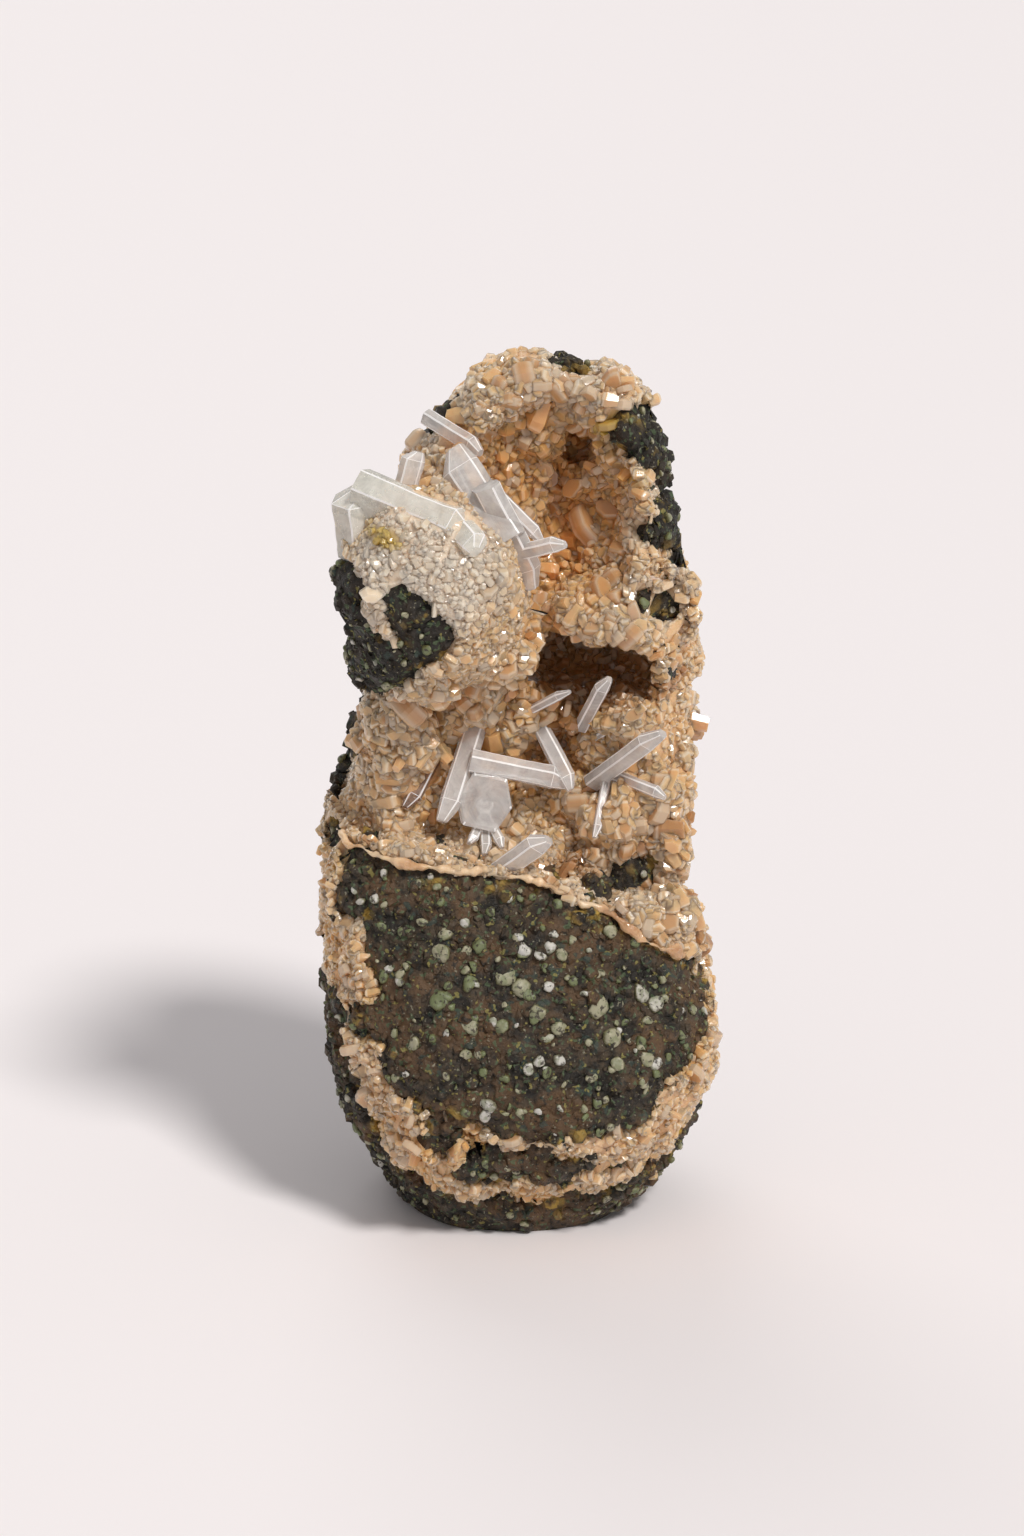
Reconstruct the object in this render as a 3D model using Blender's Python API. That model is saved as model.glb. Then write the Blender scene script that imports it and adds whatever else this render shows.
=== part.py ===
"""Heulandite with calcite on basalt: a standing hand specimen, in metres with +Z up.

A lump of basalt, broken out of a lava flow, is open on its front in two vugs and a small cave.
Heulandite lines them with one grown-together crust, and blades of calcite stand on the crust.

The lump is a field: a function of a point that is below zero inside it. A grid of points is settled
onto the zero surface of two fields: the rock's own, which lies deeper where crust covers it, and the
outside of the crust. Sizes are in millimetres until a mesh is made.
"""

import bmesh
import bpy
import numpy as np
from mathutils import Matrix, Vector

MM = 0.001

# Driving sizes
TOP = 107.2  # the highest point of the rock above its cut base
GAP = 0.35  # room left between pieces that touch
CRUST = 1.9  # depth of the heulandite
SWELL = 0.5  # how far the crust stands above the bare rock around it
CRUST_EDGE = 1.4  # half the width over which the crust thins out at its edge
SHARPEST = 2.5  # the most that a sharp edge moves, as a share of an even gap
PROUD = 0.5  # how far bare rock stands above the field's surface, so that no crust is left on it
CRUST_FOOT = 0.6  # the crust ends this far above the base
UNDER = -3.0  # the field goes on below the base, where the rock is then cut flat
MIDDLE = (-0.17, -0.9, 0.0)  # the middle of the footprint in the field's own coordinates

# Height, then the reach to the left, right, front and back
FOOT = (
    (-3.0, -11.5, 10.5, -10.5, 11.0),
    (0.0, -14.6, 13.6, -13.8, 13.6),
    (2.0, -16.2, 15.6, -15.6, 15.2),
    (4.5, -17.9, 17.7, -17.2, 16.6),
    (7.0, -19.2, 19.4, -18.8, 17.6),
    (10.0, -20.3, 21.0, -20.4, 18.6),
    (14.0, -21.8, 22.8, -21.8, 19.4),
    (19.0, -23.0, 24.0, -22.8, 20.0),
    (25.0, -23.6, 24.0, -22.8, 20.4),
    (32.0, -24.0, 22.4, -20.8, 20.6),
    (38.0, -24.2, 20.4, -18.0, 20.4),
    (44.0, -23.8, 18.6, -15.0, 20.2),
    (52.0, -23.2, 18.0, -11.5, 19.8),
)
TRUNK = (
    (30.0, -22.5, 18.0, -9.0, 19.8),
    (40.0, -23.4, 17.8, -9.0, 20.0),
    (48.0, -23.6, 18.4, -9.4, 19.6),
    (56.0, -22.9, 19.9, -9.6, 19.0),
    (62.0, -21.8, 20.9, -9.8, 18.4),
    (68.0, -20.6, 22.2, -10.0, 17.8),
    (74.0, -19.6, 21.4, -10.2, 17.0),
    (80.0, -18.4, 20.3, -10.4, 16.2),
    (88.0, -17.0, 19.4, -10.6, 15.2),
    (112.0, -14.0, 18.4, -10.8, 13.6),
)
CORNERS = 2.4  # 2 is a round plan, more is squarer

# Centre and radii
DOME = ((2.8, 2.6, 81.5), (18.2, 15.4, TOP - 81.5))
BOSS = ((-10.9, -8.6, 81.0), (11.6, 10.6, 12.6))
CHIN = ((-14.5, -7.0, 72.5), (7.0, 7.5, 5.5))
LOWER_VUG = ((-1.6, -13.6, 57.6), (19.4, 12.4, 14.0))
UPPER_VUG = ((3.6, -13.6, 89.5), (12.2, 16.4, 18.0))
CAVE = ((8.2, -1.0, 69.6), (9.2, 10.0, 5.8))
RECESS = ((7.2, 3.0, 95.4), (3.4, 8.0, 4.2))
CHANNEL = ((4.2, -1.0, 84.0), (2.8, 9.0, 12.0))
HANGING_MASS = ((9.6, -3.4, 76.2), (6.2, 5.6, 4.4))
RIGHT_SHOULDER = ((15.0, -6.0, 35.5), (6.2, 8.6, 8.0))
LEFT_LUMPS = ((-15.0, -3.6, 62.0), (5.0, 4.6, 6.5))
LOW_LUMP = ((14.0, -3.0, 49.5), (6.0, 5.5, 6.5))

# The foot's broken top: level on the left, and turning down to the right around RIDGE_TURN
RIDGE = 49.2
RIDGE_TURN = 5.0
RIDGE_BEND = 8.0
RIDGE_FALL = 0.4
RIDGE_RISE = 0.12  # its rise towards the back

# The foot's bare face below the rim of crust along the ridge, and the other bare rock seen from
# the front: centre x and z, radii, and turn in degrees
RIM = 1.6
FACE = (
    (1.6, 32.5, 19.4, 15.0, -6.0),
    (-15.0, 43.0, 7.6, 5.6, -8.0),
    (14.5, 29.0, 7.8, 6.5, 0.0),
)
BARE = (
    (-15.6, 77.0, 4.6, 10.0, -38.0),  # under the boss
    (-18.6, 70.8, 3.6, 4.4, 0.0),
    (-22.6, 56.2, 2.0, 4.6, 0.0),  # the left edge of the lower vug
    (17.2, 92.5, 3.4, 9.6, -14.0),  # the right rim of the upper vug
    (13.0, 99.6, 3.4, 2.4, 20.0),
    (16.8, 77.2, 2.6, 3.2, 40.0),
    (-12.2, 101.5, 2.0, 4.0, 35.0),  # the upper left edge
    (0.0, 2.0, 12.0, 3.2, 0.0),  # along the base
    (-21.5, 10.0, 2.6, 4.0, 0.0),
    (19.5, 6.0, 4.0, 3.0, 0.0),
)
# Crust that lies on the bare rock
PATCHES = (
    (-18.6, 33.0, 2.8, 5.6, 0.0),
    (-17.0, 17.5, 4.6, 7.4, 18.0),
    (0.0, 9.2, 15.0, 2.6, 0.0),
    (17.0, 13.5, 6.0, 7.0, 35.0),
    (22.6, 24.0, 3.0, 9.0, 0.0),
)
CRUST_BACK = 6.0  # how far back the crust wraps round the sides

GRID_ROWS, GRID_COLUMNS = 15, 16  # at first, and doubled twice
START_RADIUS = 30.0
PLUNGE_STEP = 0.25
ROCK_TRIANGLES = 1650
CRUST_TRIANGLES = 1700
CRYSTALS = 80
CRYSTAL_SPACING = 3.8
CRYSTAL_SUNK = 1.1

MATRIX_COLOUR = (0.030, 0.027, 0.022)
HEULANDITE_COLOUR = (0.72, 0.50, 0.36)
CALCITE_COLOUR = (0.86, 0.84, 0.85)

# Each calcite piece: its blades, as root, reach, width, thickness and turn about the reach
CALCITES = {
    "calcite_spray": (
        ((-2.5, -12.0, 88.8), (-6.0, 4.0, 8.4), 4.4, 2.4, 10.0),
        ((-5.8, -10.4, 91.6), (-2.4, 2.0, 4.2), 2.2, 1.6, -15.0),
        ((-3.4, -11.9, 92.4), (5.2, 2.2, -11.2), 3.0, 1.8, 20.0),
        ((-2.8, -10.8, 92.6), (5.4, 0.6, -5.6), 1.9, 1.4, -20.0),
        ((-0.4, -10.7, 85.6), (5.4, -3.0, 2.1), 2.2, 1.6, 15.0),
    ),
    "calcite_finger": (((-9.9, -1.8, 99.1), (5.2, -4.6, -2.2), 2.3, 1.9, 20.0),),
    "calcite_tile": (((-13.7, -7.6, 92.4), (1.3, 0.6, 4.6), 3.0, 2.0, 10.0),),
    "calcite_blocks": (
        ((-18.7, -7.6, 86.6), (-0.6, -0.6, 6.2), 6.6, 6.4, 15.0),
        ((-17.6, -9.6, 91.8), (10.4, -5.4, -3.4), 4.2, 3.4, 30.0),
        ((-6.6, -14.8, 88.6), (1.8, -3.2, -1.6), 3.0, 2.4, 0.0),
    ),
    "calcite_cluster": (
        ((-5.5, -2.6, 61.8), (-3.7, -6.4, -10.2), 3.1, 2.1, 15.0),
        ((-4.4, -6.2, 58.2), (10.4, 0.6, -2.4), 3.2, 2.2, 10.0),
        ((2.9, -3.2, 60.8), (3.4, -3.7, -5.6), 2.2, 1.7, 0.0),
        ((-4.7, -3.6, 52.4), (0.2, -4.6, 1.6), 6.6, 5.6, 0.0),
        ((-4.5, -6.0, 51.6), (-1.6, -4.0, -2.4), 1.4, 1.2, 0.0),
        ((-4.4, -6.0, 51.4), (0.2, -4.4, -3.4), 1.5, 1.3, 0.0),
        ((-4.3, -6.0, 51.6), (2.2, -4.0, -2.8), 1.4, 1.2, 0.0),
    ),
    "calcite_smoky_blade": (((-10.2, -2.0, 58.6), (-3.6, -4.6, -6.0), 2.2, 1.6, 0.0),),
    "calcite_wedge": (((-1.7, -12.0, 47.1), (4.6, -3.0, 4.6), 3.3, 2.1, 25.0),),
    "calcite_rod": (((0.2, -2.3, 63.2), (5.5, -5.2, 4.6), 1.3, 1.1, 0.0),),
    "calcite_needle": (((7.8, -4.6, 63.4), (2.4, -4.5, 6.4), 2.0, 1.6, 10.0),),
    "calcite_fan": (
        ((9.7, -5.0, 56.2), (6.8, -7.0, 7.8), 2.8, 1.9, 20.0),
        ((12.2, -5.8, 56.2), (5.2, -3.4, -1.1), 1.7, 1.4, 0.0),
        ((10.3, -5.6, 55.4), (-1.3, -4.4, -5.4), 1.3, 1.1, 0.0),
    ),
}
BLADE_ROOT = 1.8  # how deep a blade is rooted in the crust
TIP_SHARE = 0.22  # share of a blade's length that its tip takes


def ease(t):
    """From 0 to 1 without a corner at either end."""
    t = np.clip(t, 0.0, 1.0)
    return t * t * (3.0 - 2.0 * t)


def join(a, b, soft):
    """Union of two fields, with a fillet of about the given size."""
    h = np.clip(0.5 + 0.5 * (b - a) / soft, 0.0, 1.0)
    return b + (a - b) * h - soft * h * (1.0 - h)


def keep(a, b, soft):
    """Where both fields are solid, with a rounded edge."""
    return -join(-a, -b, soft)


def carve(a, b, soft):
    """The first field without the second, with a rounded edge."""
    return -join(-a, b, soft)


def corner_value(cell, seed):
    """A number from 0 to 1 for each whole-numbered corner of space."""
    n = cell[:, 0] * 374761393 + cell[:, 1] * 668265263 + cell[:, 2] * 1442695041 + seed * 1274126177
    n = ((n & 0xFFFFFFFF) ^ ((n & 0xFFFFFFFF) >> 13)) * 1274126177 & 0xFFFFFFFF
    return (n ^ (n >> 16)) / 4294967295.0


def noise(p, size, seed=0):
    """Smooth values from -1 to 1 that change over the given size."""
    q = p / size + 0.37 * seed
    cell = np.floor(q).astype(np.int64)
    t = q - cell
    t = t * t * (3.0 - 2.0 * t)
    value = np.zeros(len(p))
    for corner in np.ndindex(2, 2, 2):
        share = np.prod(np.where(corner, t, 1.0 - t), axis=1)
        value += share * corner_value(cell + corner, seed)
    return 2.0 * value - 1.0


def egg(p, shape):
    """Distance to an ellipsoid, near its surface."""
    centre, radii = shape
    d = (p - centre) / radii
    far = np.linalg.norm(d, axis=1)
    return far * (far - 1.0) / np.maximum(np.linalg.norm(d / radii, axis=1), 1e-6)


def column(p, table):
    """Distance to an upright body whose rounded plan follows a table of heights."""
    rows = np.array(table)
    heights = rows[:, 0]
    z = np.clip(p[:, 2], heights[0], heights[-1])
    i = np.clip(np.searchsorted(heights, z) - 1, 0, len(heights) - 2)
    step = heights[i + 1] - heights[i]
    t = ((z - heights[i]) / step)[:, None]
    slopes = np.gradient(rows[:, 1:], heights, axis=0)
    lead = (t**3 - 2 * t**2 + t) * slopes[i] + (t**3 - t**2) * slopes[i + 1]
    blend = 3 * t**2 - 2 * t**3
    reach = (1 - blend) * rows[i, 1:] + blend * rows[i + 1, 1:] + step[:, None] * lead
    left, right, front, back = reach.T
    across = np.abs((2 * p[:, 0] - left - right) / (right - left)) ** CORNERS
    deep = np.abs((2 * p[:, 1] - front - back) / (back - front)) ** CORNERS
    return ((across + deep) ** (1 / CORNERS) - 1.0) * np.minimum(right - left, back - front) / 2


def ridge_height(p):
    """The height of the foot's broken top."""
    past = p[:, 0] - RIDGE_TURN
    return RIDGE - RIDGE_FALL * (past + np.hypot(past, RIDGE_BEND)) + RIDGE_RISE * (p[:, 1] + 12.0)


def foot(p):
    """The boulder-like foot below its broken, falling top."""
    body = keep(column(p, FOOT), 0.9 * (p[:, 2] - ridge_height(p)), 1.0)
    body = join(body, egg(p, RIGHT_SHOULDER), 3.0)
    return keep(body, UNDER - p[:, 2], 1.0)


def trunk(p):
    """The upper rock with its vugs, cave and lumps."""
    body = keep(column(p, TRUNK), np.where(p[:, 2] > DOME[0][2], egg(p, DOME), -20.0), 2.0)
    body = carve(body, egg(p, LOWER_VUG), 2.5)
    body = carve(body, egg(p, UPPER_VUG), 2.5)
    body = join(body, egg(p, BOSS), 2.5)
    body = join(body, egg(p, CHIN), 3.0)
    body = carve(body, egg(p, CHANNEL), 2.0)
    body = join(body, egg(p, LEFT_LUMPS), 3.0)
    body = join(body, egg(p, LOW_LUMP), 3.0)
    body = join(body, egg(p, HANGING_MASS), 2.0)
    return keep(body, 30.0 - p[:, 2], 2.0)


def lump(p):
    """The whole lump with low undulations, but without its deep pockets."""
    body = join(foot(p), trunk(p), 2.0)
    return body + 0.7 * noise(p, 9.0, 1) + 0.35 * noise(p, 4.5, 2)


def rock(p):
    """The lump with the cave and the recess."""
    body = carve(lump(p), egg(p, CAVE), 1.5)
    return carve(body, egg(p, RECESS), 1.5)


def disc(p, shape):
    """Distance in x and z to an ellipse, below zero inside it."""
    x, z, wide, tall, turn = shape
    c, s = np.cos(np.radians(turn)), np.sin(np.radians(turn))
    dx, dz = p[:, 0] - x, p[:, 2] - z
    u, v = (c * dx + s * dz) / wide, (c * dz - s * dx) / tall
    return (np.hypot(u, v) - 1.0) * min(wide, tall)


def nearest(p, shapes):
    """Distance to the nearest of several ellipses."""
    return np.min([disc(p, shape) for shape in shapes], axis=0)


def cover(p):
    """Above zero where heulandite covers the rock: about the distance to the crust's edge."""
    y, z = p[:, 1], p[:, 2]
    ragged = 1.1 * noise(p, 4.0, 5) + 0.5 * noise(p, 2.0, 6)
    face = np.maximum(nearest(p, FACE), z - ridge_height(p) + RIM)
    front = np.maximum(np.minimum(face, nearest(p, BARE)), -nearest(p, PATCHES))
    back = CRUST_BACK - y + 0.12 * (z - 40.0)
    return np.minimum(front + ragged, back + 2.0 * ragged)


def crusted(p):
    """From 0 on bare rock to 1 where the crust has its whole depth."""
    return ease(0.5 * (cover(p) / CRUST_EDGE + 1.0))


def rock_under_crust(p):
    """The field of the rock itself, which stands a little proud where it is bare."""
    return rock(p) - PROUD + (CRUST + PROUD) * crusted(p)


def crust_outside(p):
    """The field of the crust's outside, taken on through the bare rock."""
    return rock(p) - SWELL * crusted(p)


def slope(field, p, step=0.05):
    """The field and its gradient at each point."""
    here = field(p)
    there = [field(p + offset) for offset in np.eye(3) * step]
    return here, (np.stack(there, axis=1) - here[:, None]) / step


def settle(field, grid, steps, even):
    """Moves a grid of points onto the field's surface, spreading them evenly along it."""
    for _ in range(steps):
        shape = grid.shape
        here, lean = slope(field, grid.reshape(-1, 3))
        size = np.maximum((lean**2).sum(axis=1), 0.04)
        move = np.clip(here / size, -2.5, 2.5)[:, None] * lean
        grid = grid - 0.8 * move.reshape(shape)
        out = (lean / np.sqrt(size)[:, None]).reshape(shape)
        beside = (np.roll(grid, 1, axis=1) + np.roll(grid, -1, axis=1))[1:-1]
        drift = (grid[:-2] + grid[2:] + beside) / 4 - grid[1:-1]
        drift -= (drift * out[1:-1]).sum(axis=-1, keepdims=True) * out[1:-1]
        grid[1:-1] += even * drift
    return grid


def finer(grid):
    """The grid with a point put halfway between each two neighbours."""
    columns = np.stack([grid, (grid + np.roll(grid, -1, axis=1)) / 2], axis=2).reshape(len(grid), -1, 3)
    rows = np.empty((2 * len(grid) - 1, columns.shape[1], 3))
    rows[::2] = columns
    rows[1::2] = (columns[1:] + columns[:-1]) / 2
    return rows


def plunge(grid, pocket):
    """Pushes the points over a pocket's mouth back to its far wall, which settling alone can't reach."""
    centre, radii = pocket
    points = grid.reshape(-1, 3).copy()
    off = (points - centre) / radii
    falling = np.nonzero((np.hypot(off[:, 0], off[:, 2]) < 1.0) & (off[:, 1] < 0.0))[0]
    for _ in range(round(2 * radii[1] / PLUNGE_STEP)):
        falling = falling[rock(points[falling]) > PLUNGE_STEP]
        points[falling, 1] += PLUNGE_STEP
    return points.reshape(grid.shape)


def lump_grid(rows, columns):
    """Rows of points from under the rock to its top, settled onto the outside of the lump."""
    up = (np.arange(rows) + 0.5) / rows * np.pi
    round_ = np.arange(columns) / columns * 2 * np.pi
    up, round_ = np.meshgrid(up, round_, indexing="ij")
    middle, wide = (TOP + UNDER) / 2, (TOP - UNDER) / 2 + 3.0
    ring = START_RADIUS * np.sin(up)
    grid = np.stack([ring * np.sin(round_), -ring * np.cos(round_), middle - wide * np.cos(up)], axis=-1)
    grid = settle(lump, grid, 60, 0.5)
    for steps in (40, 20):
        grid = settle(lump, finer(grid), steps, 0.5)
    grid = plunge(plunge(grid, CAVE), RECESS)
    return settle(rock, grid, 12, 0.2)


def mesh_object(name, points, faces, material=None):
    """An object from points in millimetres, with the middle of the footprint as its origin."""
    mesh = bpy.data.meshes.new(name)
    mesh.from_pydata(((np.asarray(points) - MIDDLE) * MM).tolist(), [], faces)
    obj = bpy.data.objects.new(name, mesh)
    bpy.context.scene.collection.objects.link(obj)
    if material:
        mesh.materials.append(material)
    return obj


def grid_object(name, grid):
    """The closed skin of a settled grid, with a fan of faces at each end."""
    rows, columns = grid.shape[:2]
    first = np.arange(rows - 1)[:, None] * columns
    here = np.arange(columns)[None]
    right = (here + 1) % columns
    quads = np.stack([first + here, first + right, first + columns + right, first + columns + here], axis=-1)
    low, high = rows * columns, rows * columns + 1
    last = (rows - 1) * columns
    faces = quads.reshape(-1, 4).tolist()
    faces += [[low, (c + 1) % columns, c] for c in range(columns)]
    faces += [[high, last + c, last + (c + 1) % columns] for c in range(columns)]
    points = np.vstack([grid.reshape(-1, 3), grid[0].mean(axis=0), grid[-1].mean(axis=0)])
    return mesh_object(name, points, faces)


def cut_flat(obj, height):
    """Cuts away what lies below a height, and closes the cut with one flat face."""
    bm = bmesh.new()
    bm.from_mesh(obj.data)
    geometry = bm.verts[:] + bm.edges[:] + bm.faces[:]
    plane = Vector((0.0, 0.0, height * MM))
    cut = bmesh.ops.bisect_plane(bm, geom=geometry, plane_co=plane, plane_no=(0, 0, -1), clear_outer=True)
    edges = [e for e in cut["geom_cut"] if isinstance(e, bmesh.types.BMEdge)]
    bmesh.ops.edgeloop_fill(bm, edges=edges)
    bmesh.ops.recalc_face_normals(bm, faces=bm.faces[:])
    bm.to_mesh(obj.data)
    bm.free()


def evaluated(obj):
    """Replaces an object's mesh by what its modifiers make of it."""
    graph = bpy.context.evaluated_depsgraph_get()
    mesh = bpy.data.meshes.new_from_object(obj.evaluated_get(graph))
    obj.modifiers.clear()
    obj.data = mesh


def thin_out(obj, triangles):
    """Merges the triangles of the flatter stretches."""
    bm = bmesh.new()
    bm.from_mesh(obj.data)
    bmesh.ops.triangulate(bm, faces=bm.faces[:])
    count = len(bm.faces)
    bm.to_mesh(obj.data)
    bm.free()
    modifier = obj.modifiers.new("thin", "DECIMATE")
    modifier.ratio = triangles / count
    evaluated(obj)


def grown(obj, name, distance):
    """A copy of an object with its surface moved outwards by an even distance."""
    copy = bpy.data.objects.new(name, bpy.data.meshes.new(name))
    bpy.context.scene.collection.objects.link(copy)
    bm = bmesh.new()
    bm.from_mesh(obj.data)
    bm.normal_update()
    moves = [v.normal * min(v.calc_shell_factor(), SHARPEST) * distance * MM for v in bm.verts]
    for vert, move in zip(bm.verts, moves):
        vert.co += move
    bm.to_mesh(copy.data)
    bm.free()
    return copy


def combine(obj, others, operation):
    """One Boolean with each of the others in turn."""
    for other in others:
        modifier = obj.modifiers.new(operation, "BOOLEAN")
        modifier.operation = operation
        modifier.object = other
    evaluated(obj)


def remove(objects):
    """Takes objects out of the file."""
    for obj in objects:
        bpy.data.objects.remove(obj)


def hull_object(name, points):
    """The convex solid around points in millimetres."""
    obj = mesh_object(name, points, [])
    bm = bmesh.new()
    bm.from_mesh(obj.data)
    bmesh.ops.convex_hull(bm, input=bm.verts[:])
    bmesh.ops.dissolve_limit(bm, angle_limit=0.02, verts=bm.verts[:], edges=bm.edges[:])
    bmesh.ops.recalc_face_normals(bm, faces=bm.faces[:])
    bm.to_mesh(obj.data)
    bm.free()
    return obj


def frame_of(direction, turn):
    """Two unit vectors across a direction, turned about it."""
    along = np.array(direction) / np.linalg.norm(direction)
    aside = np.cross(along, (0.0, -1.0, 0.15))
    aside /= np.linalg.norm(aside)
    spin = Matrix.Rotation(np.radians(turn), 3, Vector(along))
    aside = np.array(spin @ Vector(aside))
    return along, aside, np.cross(along, aside)


def blade_points(base, reach, width, thickness, turn, extra=0.0):
    """A flattened six-sided prism with a slanting wedge for its tip."""
    length = np.linalg.norm(reach)
    along, aside, across = frame_of(reach, turn)
    w, t = width / 2 + extra, thickness / 2 + extra
    outline = ((1, 0), (0.6, 1), (-0.6, 1), (-1, 0), (-0.6, -1), (0.6, -1))
    shoulder = length * (1 - TIP_SHARE)
    rings = ((-extra, 1.0, 1.0, 0.0), (shoulder, 1.0, 1.0, 0.0), (length + extra, 0.45, 0.55, 0.3))
    points = [
        base + along * h + aside * w * (u * wide + lean) + across * t * v * thick
        for h, wide, thick, lean in rings
        for u, v in outline
    ]
    return np.array(points)


def coffin_points(centre, along, aside, length, width, thickness):
    """A tabular heulandite crystal: the two faces of a coffin-shaped hexagon."""
    across = np.cross(along, aside)
    outline = ((0.5, 0.12), (0.12, 0.5), (-0.5, 0.3), (-0.5, -0.3), (0.12, -0.5), (0.5, -0.12))
    return np.array([
        centre + along * length * u + aside * width * v + across * thickness * level
        for level in (-0.5, 0.5)
        for u, v in outline
    ])


def spread_places(points, mask, count, spacing, random):
    """Indices of masked points, picked in random order and no closer than the spacing."""
    chosen = []
    for i in random.permutation(np.nonzero(mask)[0]):
        if len(chosen) == count:
            break
        if all(np.linalg.norm(points[i] - points[j]) > spacing for j in chosen):
            chosen.append(i)
    return chosen


def crystals_on(grid):
    """Flat-faced crystals half sunk into the crust."""
    random = np.random.default_rng(7)
    points = grid.reshape(-1, 3)
    normals = slope(rock, points)[1]
    normals /= np.linalg.norm(normals, axis=1)[:, None]
    mask = (cover(points) > 1.4) & (points[:, 1] < 3.0) & (points[:, 2] > 14.0)
    crystals = []
    for i in spread_places(points, mask, CRYSTALS, CRYSTAL_SPACING, random):
        out = normals[i] + random.normal(0.0, 0.35, 3)
        out /= np.linalg.norm(out)
        aside = np.cross(out, random.normal(0.0, 1.0, 3))
        aside /= np.linalg.norm(aside)
        length, width, thickness = random.uniform((4.0, 3.2, 1.7), (5.2, 4.8, 2.8))
        corners = coffin_points(points[i] - CRYSTAL_SUNK * out, out, aside, length, width, thickness)
        crystals.append(hull_object(f"crystal_{len(crystals)}", corners))
    return crystals


def blade_solids(name, blades, extra):
    """The blades of one calcite piece, each rooted in the crust."""
    solids = []
    for i, (root, reach, width, thickness, turn) in enumerate(blades):
        sunk = np.array(reach) * BLADE_ROOT / np.linalg.norm(reach)
        corners = blade_points(root - sunk, reach + sunk, width, thickness, turn, extra)
        solids.append(hull_object(f"{name}_blade_{i}", corners))
    return solids


def largest_piece(obj):
    """Removes every island of the mesh but the biggest."""
    bm = bmesh.new()
    bm.from_mesh(obj.data)
    left, islands = set(bm.verts), []
    while left:
        island, edge = set(), {left.pop()}
        while edge:
            vert = edge.pop()
            island.add(vert)
            edge |= {e.other_vert(vert) for e in vert.link_edges} - island
        left -= island
        islands.append(island)
    islands.sort(key=len)
    bmesh.ops.delete(bm, geom=[v for island in islands[:-1] for v in island], context="VERTS")
    bm.to_mesh(obj.data)
    bm.free()


def material(name, colour, roughness, transmission=0.0):
    """A Principled material."""
    made = bpy.data.materials.new(name)
    made.use_nodes = True
    shader = made.node_tree.nodes["Principled BSDF"]
    shader.inputs["Base Color"].default_value = (*colour, 1.0)
    shader.inputs["Roughness"].default_value = roughness
    shader.inputs["Metallic"].default_value = 0.0
    shader.inputs["Transmission Weight"].default_value = transmission
    made.diffuse_color = (*colour, 1.0)
    return made


def build():
    """The rock, its crust and the calcite on it."""
    remove(bpy.data.objects[:])
    basalt = material("basalt", MATRIX_COLOUR, 0.75)
    heulandite = material("heulandite", HEULANDITE_COLOUR, 0.35)
    calcite = material("calcite", CALCITE_COLOUR, 0.12, 0.6)

    grid = lump_grid(GRID_ROWS, GRID_COLUMNS)
    matrix = grid_object("basalt_matrix", settle(rock_under_crust, grid, 12, 0.1))
    thin_out(matrix, ROCK_TRIANGLES)
    cut_flat(matrix, 0.0)
    matrix.data.materials.append(basalt)
    rock_room = grown(matrix, "rock_room", GAP)

    crust = grid_object("heulandite_crust", settle(crust_outside, grid, 12, 0.1))
    thin_out(crust, CRUST_TRIANGLES)
    cut_flat(crust, CRUST_FOOT)
    crust.data.materials.append(heulandite)
    crystals = crystals_on(grid)
    combine(crust, crystals, "UNION")
    combine(crust, [rock_room, matrix], "DIFFERENCE")

    for name, blades in CALCITES.items():
        solids = blade_solids(name, blades, 0.0)
        piece = solids[0]
        piece.name = name
        piece.data.materials.append(calcite)
        combine(piece, solids[1:], "UNION")
        combine(piece, [rock_room], "DIFFERENCE")
        largest_piece(piece)
        room = blade_solids(f"{name}_room", blades, GAP)
        combine(crust, room, "DIFFERENCE")
        remove(solids[1:] + room)
    largest_piece(crust)
    remove(crystals + [rock_room])


if __name__ == "__main__":
    build()
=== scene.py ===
"""The looks of a hand specimen: heulandite with calcite on basalt.

The specimen's surfaces come from one field, a function of a point that is below zero inside the lump.
The solids follow the same field, so each surface here lies close to its solid. The basalt and the crust
are settled on it, the grains of the druse stand on the crust, and the calcite blades are profiles
carried along their length. Sizes are in millimetres until a mesh is made.
"""

import logging
import math
from collections.abc import Callable
from dataclasses import dataclass, field, replace
from enum import Enum
from functools import cached_property

import bpy
import numpy as np
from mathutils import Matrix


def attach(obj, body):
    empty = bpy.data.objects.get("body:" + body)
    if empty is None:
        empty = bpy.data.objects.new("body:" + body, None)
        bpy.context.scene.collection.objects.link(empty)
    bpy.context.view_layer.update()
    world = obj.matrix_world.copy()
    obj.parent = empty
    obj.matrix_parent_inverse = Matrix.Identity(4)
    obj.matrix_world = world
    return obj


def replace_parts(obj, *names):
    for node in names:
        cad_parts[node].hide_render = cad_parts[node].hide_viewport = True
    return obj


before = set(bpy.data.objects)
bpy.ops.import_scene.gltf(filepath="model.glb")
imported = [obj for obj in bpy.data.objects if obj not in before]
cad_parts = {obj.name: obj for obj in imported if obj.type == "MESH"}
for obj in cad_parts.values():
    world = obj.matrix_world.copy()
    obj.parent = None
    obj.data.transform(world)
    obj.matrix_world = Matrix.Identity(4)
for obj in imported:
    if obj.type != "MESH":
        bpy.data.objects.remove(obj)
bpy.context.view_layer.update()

log = logging.getLogger("specimen")

MM = 0.001
MIDDLE = (-0.17, -0.9, 0.0)  # the middle of the footprint in the field's own coordinates
BODY = "root"
CRUST_FLOOR = 0.6  # how high above the ground the crust's skin ends

Triple = tuple[float, float, float]
Waves = tuple[tuple[float, float, int], ...]  # height, size and seed of each layer of noise
Array = np.ndarray


def ease(t: Array) -> Array:
    """Returns 0 to 1 without a corner at either end: three t squared less two t cubed."""
    t = np.clip(t, 0.0, 1.0)
    return t * t * (3.0 - 2.0 * t)


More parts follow.
